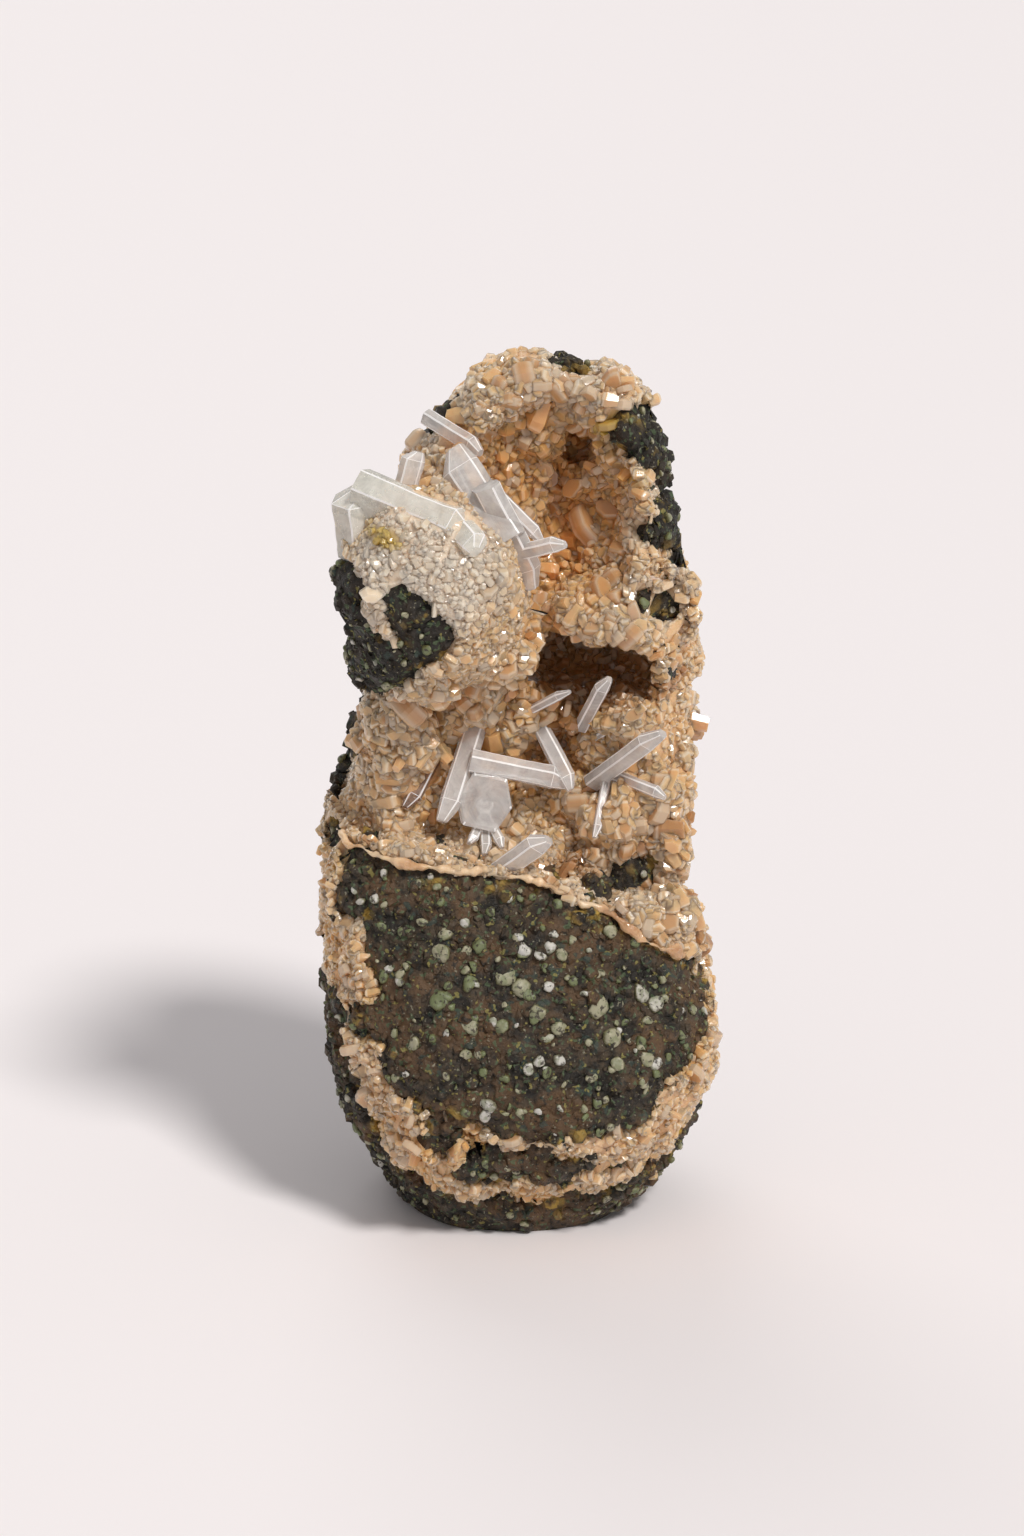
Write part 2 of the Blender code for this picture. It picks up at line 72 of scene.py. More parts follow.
def join(a: Array, b: Array, soft: float) -> Array:
    """Union of two fields: the smaller one, with a fillet where they are nearly equal.

    Args:
        a: Values of the first field.
        b: Values of the second field.
        soft: Size of the fillet.

    Returns:
        Values of the joined field.
    """
    h = np.clip(0.5 + 0.5 * (b - a) / soft, 0.0, 1.0)
    return b + (a - b) * h - soft * h * (1.0 - h)


def keep(a: Array, b: Array, soft: float) -> Array:
    """Returns where both fields are solid, with a rounded edge."""
    return -join(-a, -b, soft)


def carve(a: Array, b: Array, soft: float) -> Array:
    """Returns the first field without the second, with a rounded edge."""
    return -join(-a, b, soft)


def corner_value(cell: Array, seed: int) -> Array:
    """Returns a number from 0 to 1 for each whole-numbered corner of space, from a hash."""
    n = cell[:, 0] * 374761393 + cell[:, 1] * 668265263 + cell[:, 2] * 1442695041 + seed * 1274126177
    n = ((n & 0xFFFFFFFF) ^ ((n & 0xFFFFFFFF) >> 13)) * 1274126177 & 0xFFFFFFFF
    return (n ^ (n >> 16)) / 4294967295.0


def noise(points: Array, size: float, seed: int = 0) -> Array:
    """Smooth values from -1 to 1: corner values blended across cells of the given size.

    Args:
        points: Points, one per row.
        size: Edge of a cell.
        seed: Which pattern.

    Returns:
        One value for each point.
    """
    q = points / size + 0.37 * seed
    cell = np.floor(q).astype(np.int64)
    t = q - cell
    t = t * t * (3.0 - 2.0 * t)
    value = np.zeros(len(points))
    for corner in np.ndindex(2, 2, 2):
        share = np.prod(np.where(corner, t, 1.0 - t), axis=1)
        value += share * corner_value(cell + corner, seed)
    return 2.0 * value - 1.0


def unit(vectors: Array) -> Array:
    """Returns the vectors, one per row, with a length of one."""
    return vectors / np.linalg.norm(vectors, axis=1)[:, None]


def waved(base: Array | float, points: Array, waves: Waves) -> Array:
    """Returns the base with waves added, each a height times the noise of some size and seed."""
    for height, size, seed in waves:
        base = base + height * noise(points, size, seed)
    return base


def clumps(points: Array, size: float, seed: int) -> Array:
    """Rounded humps of chance places: one less the square of the distance to the nearest place.

    Args:
        points: Points, one per row.
        size: Distance between the places.
        seed: Which pattern.

    Returns:
        Heights from about 0 to 1.
    """
    q = points / size + 0.37 * seed
    cell = np.floor(q).astype(np.int64)
    nearest = np.full(len(points), 9.0)
    for offset in np.ndindex(3, 3, 3):
        corner = cell + np.array(offset) - 1
        place = corner + np.stack([corner_value(corner, seed + axis) for axis in range(3)], axis=1)
        nearest = np.minimum(nearest, ((q - place) ** 2).sum(axis=1))
    return 1.0 - np.minimum(nearest, 1.0)


@dataclass(frozen=True)
class Egg:
    """An ellipsoid."""

    centre: Triple
    radii: Triple

    def distance(self, points: Array) -> Array:
        """Returns the distance near its surface: length over the radii, scaled by its own slope."""
        d = (points - self.centre) / self.radii
        far = np.linalg.norm(d, axis=1)
        return far * (far - 1.0) / np.maximum(np.linalg.norm(d / self.radii, axis=1), 1e-6)


@dataclass(frozen=True)
class Patch:
    """An ellipse seen from the front, turned by an angle in degrees."""

    x: float
    z: float
    wide: float
    tall: float
    turn: float = 0.0

    def distance(self, points: Array) -> Array:
        """Returns the distance in x and z, below zero inside the ellipse."""
        c, s = math.cos(math.radians(self.turn)), math.sin(math.radians(self.turn))
        dx, dz = points[:, 0] - self.x, points[:, 2] - self.z
        u, v = (c * dx + s * dz) / self.wide, (c * dz - s * dx) / self.tall
        return (np.hypot(u, v) - 1.0) * min(self.wide, self.tall)


@dataclass(frozen=True)
class Outline:
    """A closed outline seen from the front, as pairs of x and z."""

    corners: tuple[tuple[float, float], ...]

    def depth(self, x: Array, z: Array) -> Array:
        """Distance to the nearest edge, above zero inside, where a ray to the right crosses an odd number.

        Args:
            x: Places across.
            z: Heights.

        Returns:
            The signed distance of each place.
        """
        a = np.array(self.corners)
        edge = np.roll(a, -1, axis=0) - a
        off = np.stack([x, z], axis=-1)[..., None, :] - a
        along = np.clip((off * edge).sum(axis=-1) / (edge**2).sum(axis=-1), 0.0, 1.0)
        gap = np.linalg.norm(off - along[..., None] * edge, axis=-1).min(axis=-1)
        height = np.where(edge[:, 1] == 0.0, 1e-9, edge[:, 1])
        share = off[..., 1] / height
        crossed = (share >= 0.0) & (share < 1.0) & (off[..., 0] < share * edge[:, 0])
        return np.where(crossed.sum(axis=-1) % 2 == 1, gap, -gap)


@dataclass(frozen=True)
class FrontMap:
    """The greatest depth in any of several outlines, worked out once on a lattice."""

    outlines: tuple[Outline, ...]
    left: float = -27.0
    right: float = 27.0
    low: float = -4.0
    high: float = 111.0
    step: float = 0.3

    @cached_property
    def lattice(self) -> Array:
        """Returns the depths at the lattice's corners, as columns by rows."""
        x, z = np.arange(self.left, self.right, self.step), np.arange(self.low, self.high, self.step)
        x, z = np.meshgrid(x, z, indexing="ij")
        return np.max([outline.depth(x, z) for outline in self.outlines], axis=0)

    def depth(self, p: Array) -> Array:
        """Returns the depth at each point, blended in straight lines between the lattice's corners."""
        u = np.clip((p[:, 0] - self.left) / self.step, 0.0, self.lattice.shape[0] - 1.001)
        v = np.clip((p[:, 2] - self.low) / self.step, 0.0, self.lattice.shape[1] - 1.001)
        i, j = u.astype(int), v.astype(int)
        u, v = u - i, v - j
        low = self.lattice[i, j] * (1 - u) + self.lattice[i + 1, j] * u
        high = self.lattice[i, j + 1] * (1 - u) + self.lattice[i + 1, j + 1] * u
        return low * (1 - v) + high * v


# Crust on the foot's face.
LEFT_STRIP = Outline(((-26, 48), (-22.4, 47), (-21.8, 44), (-21.6, 41), (-19.5, 41.2), (-18, 39.4),
                      (-17.3, 36), (-17.3, 32.6), (-19, 30.4), (-21, 28.8), (-26, 29.5)))
LEFT_SPREAD = Outline(((-21.6, 26.6), (-17.6, 26.4), (-15.2, 23), (-13.1, 19.7), (-11, 15), (-7.6, 12.4),
                       (-6.4, 9.8), (-13.6, 9.4), (-16.6, 12.6), (-19.2, 17.3), (-20.6, 22)))
LOW_BELT = Outline(((-14.5, 10), (-10, 12.2), (-6, 9.4), (-1, 9.8), (3, 8.2), (8, 10.5), (14, 10.8),
                    (19, 13), (20, 10), (13, 6.4), (5, 4.8), (-2.6, 4.2), (-10, 6.2), (-15.5, 8)))
RIGHT_BELT = Outline(((20.8, 35.6), (22.4, 31), (22.6, 27.6), (21.2, 24), (19, 22.2), (16.8, 19.6),
                      (14.4, 16.8), (9.2, 14.6), (7.6, 11), (14.6, 9.2), (19, 11), (21.8, 14), (26, 15),
                      (26, 34), (23, 37)))
WHITE_STREAK = Outline(((-8, 18), (-4, 18.4), (0, 16.6), (2, 14.6), (0.6, 12.8), (-4, 13.4), (-7.6, 15)))
PEACH_STREAK = Outline(((1.4, 14.8), (3.6, 16.6), (9, 16.2), (10, 13.4), (8, 11.8), (3, 12)))

# Bare rock on the trunk.
BOSS_ROCK = Outline(((-26, 85.8), (-20.6, 84.6), (-18.4, 83.2), (-15.6, 84.2), (-14.4, 85.6), (-12.9, 83.6),
                     (-10.6, 80.7), (-7.5, 77.3), (-8.6, 75.6), (-11.9, 73.4), (-14.9, 70.4), (-16.2, 68),
                     (-19.2, 66.2), (-20.3, 60), (-20.6, 56.4), (-22.2, 51.6), (-26, 50)))
BOSS_TONGUE = Outline(((-18.6, 84), (-15.4, 83.8), (-15.6, 80.4), (-13.8, 76.6), (-14.8, 75.6), (-17.2, 78),
                       (-18.8, 80.5)))
RIM_ROCK = Outline(((10.1, 101.3), (13, 101.4), (16, 99.8), (19, 98), (24, 95), (25, 84.5), (21.5, 80.4),
                    (19.2, 81.6), (16.6, 85), (13.4, 86.4), (13.5, 88.2), (15.8, 87.8), (17.2, 89.4),
                    (16, 92), (15.2, 94), (13.8, 95.4), (12.1, 96.4), (10.2, 97.4), (10.9, 99.6)))
HOOK = Outline(((13.6, 80.8), (15.2, 80.2), (16.8, 78.6), (17.6, 81), (18.8, 80), (19.2, 73.6), (17.5, 74.6),
                (16, 76.6), (13.8, 77.6)))
LEFT_SHOULDER = Outline(((-14.2, 94.4), (-10.8, 97.2), (-8.4, 100.8), (-6.2, 103.8), (-12, 107), (-17, 100)))
CREST = Outline(((2, 108.5), (3.4, 105.6), (5, 104.9), (7.4, 104.6), (8.6, 105.6), (8.8, 108.5)))
SLIT = Outline(((7.6, 45.6), (10.8, 45.4), (13.5, 45.8), (16.6, 46.8), (16.2, 44.0), (11, 43.0), (7.8, 44.0)))


@dataclass(frozen=True)
class Column:
    """An upright body whose rounded plan follows a table: height, left, right, front and back."""

    rows: tuple[tuple[float, ...], ...]
    corners: float = 2.4

    def distance(self, points: Array) -> Array:
        """The plan's reach follows a cubic through the table, and the plan is a superellipse.

        Args:
            points: Points, one per row.

        Returns:
            About the distance to the body's side.
        """
        rows = np.array(self.rows)
        heights = rows[:, 0]
        z = np.clip(points[:, 2], heights[0], heights[-1])
        i = np.clip(np.searchsorted(heights, z) - 1, 0, len(heights) - 2)
        step = heights[i + 1] - heights[i]
        t = ((z - heights[i]) / step)[:, None]
        slopes = np.gradient(rows[:, 1:], heights, axis=0)
        lead = (t**3 - 2 * t**2 + t) * slopes[i] + (t**3 - t**2) * slopes[i + 1]
        blend = 3 * t**2 - 2 * t**3
        reach = (1 - blend) * rows[i, 1:] + blend * rows[i + 1, 1:] + step[:, None] * lead
        left, right, front, back = reach.T
        across = np.abs((2 * points[:, 0] - left - right) / (right - left)) ** self.corners
        deep = np.abs((2 * points[:, 1] - front - back) / (back - front)) ** self.corners
        return ((across + deep) ** (1 / self.corners) - 1.0) * np.minimum(right - left, back - front) / 2


FOOT = Column(
    (
        (-3.0, -11.5, 10.5, -10.5, 11.0),
        (0.0, -14.6, 13.6, -13.8, 13.6),
        (2.0, -16.2, 15.6, -15.6, 15.2),
        (4.5, -17.9, 17.7, -17.2, 16.6),
        (7.0, -19.2, 19.4, -18.8, 17.6),
        (10.0, -20.3, 21.0, -20.4, 18.6),
        (14.0, -21.8, 22.8, -21.8, 19.4),
        (19.0, -23.0, 24.0, -22.8, 20.0),
        (25.0, -23.6, 24.0, -22.8, 20.4),
        (32.0, -24.0, 22.4, -20.8, 20.6),
        (38.0, -24.2, 20.4, -18.0, 20.4),
        (44.0, -23.8, 18.6, -15.0, 20.2),
        (52.0, -23.2, 18.0, -11.5, 19.8),
    )
)
TRUNK = Column(
    (
        (30.0, -22.5, 18.0, -9.0, 19.8),
        (40.0, -23.4, 17.8, -9.0, 20.0),
        (48.0, -23.6, 18.4, -9.4, 19.6),
        (56.0, -22.9, 19.9, -9.6, 19.0),
        (62.0, -21.8, 20.9, -9.8, 18.4),
        (68.0, -20.6, 22.2, -10.0, 17.8),
        (74.0, -19.6, 21.4, -10.2, 17.0),
        (80.0, -18.4, 20.3, -10.4, 16.2),
        (88.0, -17.0, 19.4, -10.6, 15.2),
        (112.0, -14.0, 18.4, -10.8, 13.6),
    )
)


@dataclass(frozen=True)
class Lump:
    """The field of the whole lump, and where heulandite covers it."""

    top: float = 107.2
    under: float = -3.0
    dome: Egg = Egg((2.8, 2.6, 81.5), (18.2, 15.4, 25.7))
    boss: Egg = Egg((-10.9, -8.6, 81.0), (11.6, 10.6, 12.6))
    chin: Egg = Egg((-14.5, -7.0, 72.5), (7.0, 7.5, 5.5))
    lower_vug: Egg = Egg((-1.6, -13.6, 57.6), (19.4, 12.4, 14.0))
    upper_vug: Egg = Egg((3.6, -13.6, 89.5), (12.2, 16.4, 18.0))
    cave: Egg = Egg((8.2, -1.0, 69.6), (9.2, 10.0, 5.8))
    recess: Egg = Egg((7.2, 2.6, 95.4), (2.5, 7.0, 3.4))
    channel: Egg = Egg((4.2, -1.0, 84.0), (2.8, 9.0, 12.0))
    hanging_mass: Egg = Egg((9.6, -3.4, 76.2), (6.2, 5.6, 4.4))
    right_shoulder: Egg = Egg((15.0, -6.0, 35.5), (6.2, 8.6, 8.0))
    left_lumps: Egg = Egg((-15.0, -3.6, 62.0), (5.0, 4.6, 6.5))
    low_lump: Egg = Egg((14.0, -3.0, 49.5), (6.0, 5.5, 6.5))
    ridge: float = 49.2
    ridge_turn: float = 5.0
    ridge_bend: float = 8.0
    ridge_fall: float = 0.4
    ridge_rise: float = 0.12
    waves: Waves = ((0.7, 9.0, 1), (0.35, 4.5, 2))
    rim: float = 1.6
    crust_depth: float = 2.3
    crust_edge: float = 0.9
    crust_back: float = 6.0
    ragged: Waves = ((0.5, 3.0, 5), (0.5, 1.5, 6), (0.25, 0.8, 7))
    broken: Waves = ((1.7, 4.0, 15), (1.2, 1.9, 16))
    broken_in: float = 0.1
    tongue_in: float = 0.35
    swell: float = 0.5
    crystal_room: float = 1.15
    side_room: float = 0.8
    proud: float = 0.3
    clump_size: float = 5.2
    clump_seed: int = 8
    clump_height: float = 1.7
    clump_mean: float = 1.1
    between_vugs: float = 73.0
    lower_top: float = 70.0
    lower_height: float = 4.0
    lower_mean: float = 2.6
    small_clump: float = 0.8
    foot_crust: FrontMap = FrontMap(
        (LEFT_STRIP, LEFT_SPREAD, LOW_BELT, RIGHT_BELT, WHITE_STREAK, PEACH_STREAK)
    )
    bare_trunk: FrontMap = FrontMap((BOSS_ROCK, RIM_ROCK, HOOK, LEFT_SHOULDER, CREST, SLIT))
    tongue: FrontMap = FrontMap((BOSS_TONGUE,))

    def ridge_height(self, p: Array) -> Array:
        """Returns the height of the foot's broken top: level, then falling along a hyperbola."""
        past = p[:, 0] - self.ridge_turn
        fall = self.ridge_fall * (past + np.hypot(past, self.ridge_bend))
        return self.ridge - fall + self.ridge_rise * (p[:, 1] + 12.0)

    def foot(self, p: Array) -> Array:
        """Returns the field of the boulder-like foot below its broken top."""
        body = keep(FOOT.distance(p), 0.9 * (p[:, 2] - self.ridge_height(p)), 1.0)
        body = join(body, self.right_shoulder.distance(p), 3.0)
        return keep(body, self.under - p[:, 2], 1.0)

    def trunk(self, p: Array) -> Array:
        """Returns the field of the upper rock with its two vugs and its lumps."""
        above = np.where(p[:, 2] > self.dome.centre[2], self.dome.distance(p), -20.0)
        body = keep(TRUNK.distance(p), above, 2.0)
        body = carve(body, self.lower_vug.distance(p), 2.5)
        body = carve(body, self.upper_vug.distance(p), 2.5)
        body = join(body, self.boss.distance(p), 2.5)
        body = join(body, self.chin.distance(p), 3.0)
        body = carve(body, self.channel.distance(p), 2.0)
        body = join(body, self.left_lumps.distance(p), 3.0)
        body = join(body, self.low_lump.distance(p), 3.0)
        body = join(body, self.hanging_mass.distance(p), 2.0)
        return keep(body, 30.0 - p[:, 2], 2.0)

    def lump(self, p: Array) -> Array:
        """Returns the whole lump with low undulations, but without its deep pockets."""
        return waved(join(self.foot(p), self.trunk(p), 2.0), p, self.waves)

    def rock(self, p: Array) -> Array:
        """Returns the lump with the cave and the recess."""
        body = carve(self.lump(p), self.cave.distance(p), 1.5)
        return carve(body, self.recess.distance(p), 1.5)

    def cover(self, p: Array) -> Array:
        """Returns about the distance to the crust's edge, above zero where crust covers the rock."""
        ragged = waved(0.0, p, self.ragged)
        foot = waved(self.foot_crust.depth(p) - self.broken_in, p, self.broken)
        above = p[:, 2] - self.ridge_height(p) + self.rim
        trunk = np.minimum(above, -self.bare_trunk.depth(p))
        trunk = np.maximum(trunk, self.tongue.depth(p) - self.tongue_in)
        front = np.maximum(trunk, foot)
        back = self.crust_back - p[:, 1] + 0.12 * (p[:, 2] - 40.0)
        return np.minimum(front + ragged, back + 4.0 * ragged)

    def crusted(self, p: Array) -> Array:
        """Returns 0 on bare rock and 1 where the crust has its whole depth."""
        return ease(0.5 * (self.cover(p) / self.crust_edge + 1.0))

    def rock_under_crust(self, p: Array) -> Array:
        """Returns the field of the rock itself, which stands a little proud where it is bare."""
        bare = self.rock(p) - self.proud + self.side_room * self.side(p)
        return bare + (self.crust_depth + self.proud) * self.crusted(p)

    def crust_outside(self, p: Array) -> Array:
        """Returns the field of the crust, which dips under the rock's surface where that is bare."""
        crusted = self.crusted(p)
        return self.rock(p) - self.swell * crusted + self.crust_depth * (1.0 - crusted)

    def bulbs(self, p: Array) -> Array:
        """Returns the height of the rounded clumps that the crust grew in, highest in the lower vug."""
        wide = 0.35 + 0.65 * ease((p[:, 2] - self.ridge_height(p)) / 6.0)
        on_boss = ease(0.5 - self.boss.distance(p) / 3.0)
        low = ease((self.lower_top - p[:, 2]) / 6.0)
        height = (self.clump_height + self.lower_height * low) * clumps(p, self.clump_size, self.clump_seed)
        height += self.small_clump * clumps(p, self.clump_size / 2, self.clump_seed + 1)
        height = height - self.clump_mean - self.lower_mean * low
        return height * wide * (1.0 - 0.75 * on_boss) * self.crusted(p)

    def side(self, p: Array) -> Array:
        """Returns 1 at the trunk's two sides, where the crystals lie close to the rock, and 0 elsewhere."""
        right = ease((p[:, 0] - 12.0) / 5.0) * ease((p[:, 2] - 56.0) / 6.0)
        left = ease((-15.0 - p[:, 0]) / 4.0) * ease((p[:, 2] - 44.0) / 4.0) * ease((80.0 - p[:, 2]) / 5.0)
        return np.maximum(right, left)

    def rise(self, p: Array) -> Array:
        """Returns how far the druse stands above the crust's outside: its clumps less the crystals' room."""
        side = self.side(p)
        room = self.crystal_room + self.side_room * side
        return (1.0 - 0.5 * side) * self.bulbs(p) - room * self.crusted(p)

    def druse(self, p: Array) -> Array:
        """Returns the field of the crust with its clumps, sunk to leave room for the crystals on it."""
        return self.crust_outside(p) - self.rise(p)

    def hollow_depth(self, p: Array) -> Array:
        """Returns how deep a point lies behind the outline of the unbroken lump."""
        above = np.where(p[:, 2] > self.dome.centre[2], self.dome.distance(p), -40.0)
        whole = np.maximum(TRUNK.distance(p), above)
        whole = np.minimum(whole, self.boss.distance(p))
        return np.maximum(-whole, 0.0) * ease((p[:, 2] - 40.0) / 6.0)


def slope(surface: Callable[[Array], Array], p: Array, step: float = 0.05) -> tuple[Array, Array]:
    """The field and its gradient, by a difference along each axis.

    Args:
        surface: The field.
        p: Points, one per row.
        step: Length of the difference.

    Returns:
        The field's value and its gradient at each point.
    """
    here = surface(p)
    there = [surface(p + offset) for offset in np.eye(3) * step]
    return here, (np.stack(there, axis=1) - here[:, None]) / step


def normals_of(surface: Callable[[Array], Array], p: Array) -> Array:
    """Returns the field's unit normals."""
    lean = slope(surface, p)[1]
    return lean / np.maximum(np.linalg.norm(lean, axis=1), 1e-6)[:, None]


LEAST_SLOPE = 0.04  # of the gradient's square, so that no step runs away
LONGEST_STEP = 2.5
STEP_SHARE = 0.8


def settle(surface: Callable[[Array], Array], grid: Array, steps: int, even: float) -> Array:
    """Moves a grid onto the field's zero surface, spreading its points evenly along it.

    Each step goes down the gradient by the field's value over the gradient's square, and then
    slides each point along the surface towards the middle of its four neighbours.

    Args:
        surface: The field.
        grid: Points as rows by columns by three.
        steps: Number of steps.
        even: Share of the way that a point slides.

    Returns:
        The settled grid.
    """
    for _ in range(steps):
        shape = grid.shape
        here, lean = slope(surface, grid.reshape(-1, 3))
        size = np.maximum((lean**2).sum(axis=1), LEAST_SLOPE)
        move = np.clip(here / size, -LONGEST_STEP, LONGEST_STEP)[:, None] * lean
        grid = grid - STEP_SHARE * move.reshape(shape)
        out = (lean / np.sqrt(size)[:, None]).reshape(shape)
        beside = (np.roll(grid, 1, axis=1) + np.roll(grid, -1, axis=1))[1:-1]
        drift = (grid[:-2] + grid[2:] + beside) / 4 - grid[1:-1]
        drift -= (drift * out[1:-1]).sum(axis=-1, keepdims=True) * out[1:-1]
        grid[1:-1] += even * drift
    return grid


def within(grid: Array, parent: Array, reach: float = 3.2) -> Array:
    """Returns the grid with no point further than some reach from where it was in its parent."""
    move = grid - parent
    far = np.linalg.norm(move, axis=-1, keepdims=True)
    return parent + move * np.minimum(1.0, reach / np.maximum(far, reach))


def finer(grid: Array) -> Array:
    """Returns the grid with a point put halfway between each two neighbours."""
    columns = np.stack([grid, (grid + np.roll(grid, -1, axis=1)) / 2], axis=2).reshape(len(grid), -1, 3)
    rows = np.empty((2 * len(grid) - 1, columns.shape[1], 3))
    rows[::2] = columns
    rows[1::2] = (columns[1:] + columns[:-1]) / 2
    return rows


def plunge(lump: Lump, grid: Array, pocket: Egg, step: float = 0.25) -> Array:
    """Pushes the points over a pocket's mouth straight back until they meet its far wall.

    Args:
        lump: The lump.
        grid: Points as rows by columns by three.
        pocket: The pocket, whose mouth faces the front.
        step: How far a point goes at a time.

    Returns:
        The grid with those points on the far wall.
    """
    points = grid.reshape(-1, 3).copy()
    off = (points - pocket.centre) / pocket.radii
    falling = np.nonzero((np.hypot(off[:, 0], off[:, 2]) < 1.0) & (off[:, 1] < 0.0))[0]
    for _ in range(round(2 * pocket.radii[1] / step)):
        falling = falling[lump.rock(points[falling]) > step]
        points[falling, 1] += step
    return points.reshape(grid.shape)


@dataclass(frozen=True)
class SkinGrid:
    """Rows of points from under the lump to its top, settled onto it and then made finer."""

    rows: int = 15
    columns: int = 16
    start_radius: float = 30.0
    start_steps: int = 60
    lump_steps: tuple[int, ...] = (40, 20)
    pocket_steps: int = 12
    rock_steps: tuple[int, ...] = (6, 4)
    even: float = 0.5
    pocket_even: float = 0.2

    def settled(self, lump: Lump) -> Array:
        """The start is an upright spheroid round the lump, and each doubling is settled again.

        Args:
            lump: The lump.

        Returns:
            Points as rows by columns by three, about 0.7 mm apart.
        """
        up = (np.arange(self.rows) + 0.5) / self.rows * np.pi
        turn = np.arange(self.columns) / self.columns * 2 * np.pi
        up, turn = np.meshgrid(up, turn, indexing="ij")
        middle, tall = (lump.top + lump.under) / 2, (lump.top - lump.under) / 2 + 3.0
        ring = self.start_radius * np.sin(up)
        grid = np.stack([ring * np.sin(turn), -ring * np.cos(turn), middle - tall * np.cos(up)], axis=-1)
        grid = settle(lump.lump, grid, self.start_steps, self.even)
        for steps in self.lump_steps:
            grid = settle(lump.lump, finer(grid), steps, self.even)
        grid = plunge(lump, plunge(lump, grid, lump.cave), lump.recess)
        grid = settle(lump.rock, grid, self.pocket_steps, self.pocket_even)
        for steps in self.rock_steps:
            grid = settle(lump.rock, finer(grid), steps, self.pocket_even)
        return grid


class Slot(Enum):
    """The record's material slots."""

    BASALT = "basalt"
    HEULANDITE = "heulandite"
    CALCITE = "calcite"


@dataclass
class MeshParts:
    """Corners and faces of one mesh, with values that the corners and the faces carry."""

    points: Array
    corners: Array
    starts: Array
    values: dict[str, Array] = field(default_factory=dict)
    face_values: dict[str, Array] = field(default_factory=dict)

    def object(self, name: str, material: bpy.types.Material, slot: Slot, smooth: bool) -> bpy.types.Object:
        """Makes the object, in metres, riding on the specimen.

        Args:
            name: The piece's name.
            material: Its finish.
            slot: The record's material slot; not used.
            smooth: Whether its shading is smooth.

        Returns:
            The new object.
        """
        mesh = bpy.data.meshes.new(name)
        mesh.vertices.add(len(self.points))
        mesh.vertices.foreach_set("co", ((self.points - MIDDLE) * MM).astype(np.float32).ravel())
        mesh.loops.add(len(self.corners))
        mesh.polygons.add(len(self.starts))
        mesh.polygons.foreach_set("loop_start", self.starts.astype(np.int32))
        mesh.polygons.foreach_set("vertices", self.corners.astype(np.int32))
        mesh.polygons.foreach_set("use_smooth", np.full(len(self.starts), smooth))
        for domain, values in (("POINT", self.values), ("FACE", self.face_values)):
            for key, value in values.items():
                layer = mesh.attributes.new(key, "FLOAT", domain)
                layer.data.foreach_set("value", value.astype(np.float32))
        mesh.update(calc_edges=True)
        mesh.validate()
        mesh.materials.append(material)
        obj = bpy.data.objects.new(name, mesh)
        bpy.context.scene.collection.objects.link(obj)
        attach(obj, BODY)
        triangles = len(self.corners) - 2 * len(self.starts)
        log.info("%s: %d triangles", name, triangles)
        return obj


def starts_of(sides: Array | list[int]) -> Array:
    """Returns where each face's corners start, from how many sides each face has."""
    return np.concatenate([[0], np.cumsum(sides)[:-1]])


def quads_of(rows: int, columns: int) -> Array:
    """Returns the corners of the faces between each two rows, each of which closes on itself."""
    first = np.arange(rows - 1)[:, None] * columns
    here = np.arange(columns)
    right = (here + 1) % columns
    above = first + columns
    return np.stack([first + here, first + right, above + right, above + here], axis=-1)


def skin_mesh(grid: Array, floor: float) -> MeshParts:
    """The closed skin of a settled grid, lifted to a level floor and closed by a fan at each end.

    Args:
        grid: Points as rows by columns by three.
        floor: Height of the flat underside.

    Returns:
        The mesh.
    """
    rows, columns = grid.shape[:2]
    points = np.vstack([grid.reshape(-1, 3), grid[0].mean(axis=0), grid[-1].mean(axis=0)])
    points[:, 2] = np.maximum(points[:, 2], floor)
    quads = quads_of(rows, columns)
    here = np.arange(columns)
    right = (here + 1) % columns
    last = (rows - 1) * columns
    low = np.stack([np.full(columns, rows * columns), right, here], axis=-1)
    high = np.stack([np.full(columns, rows * columns + 1), last + here, last + right], axis=-1)
    corners = np.concatenate([quads.ravel(), low.ravel(), high.ravel()])
    sides = np.concatenate([np.full(quads.size // 4, 4), np.full(2 * columns, 3)])
    return MeshParts(points, corners, starts_of(sides))


Socket = bpy.types.NodeSocket
Colour = tuple[float, float, float]


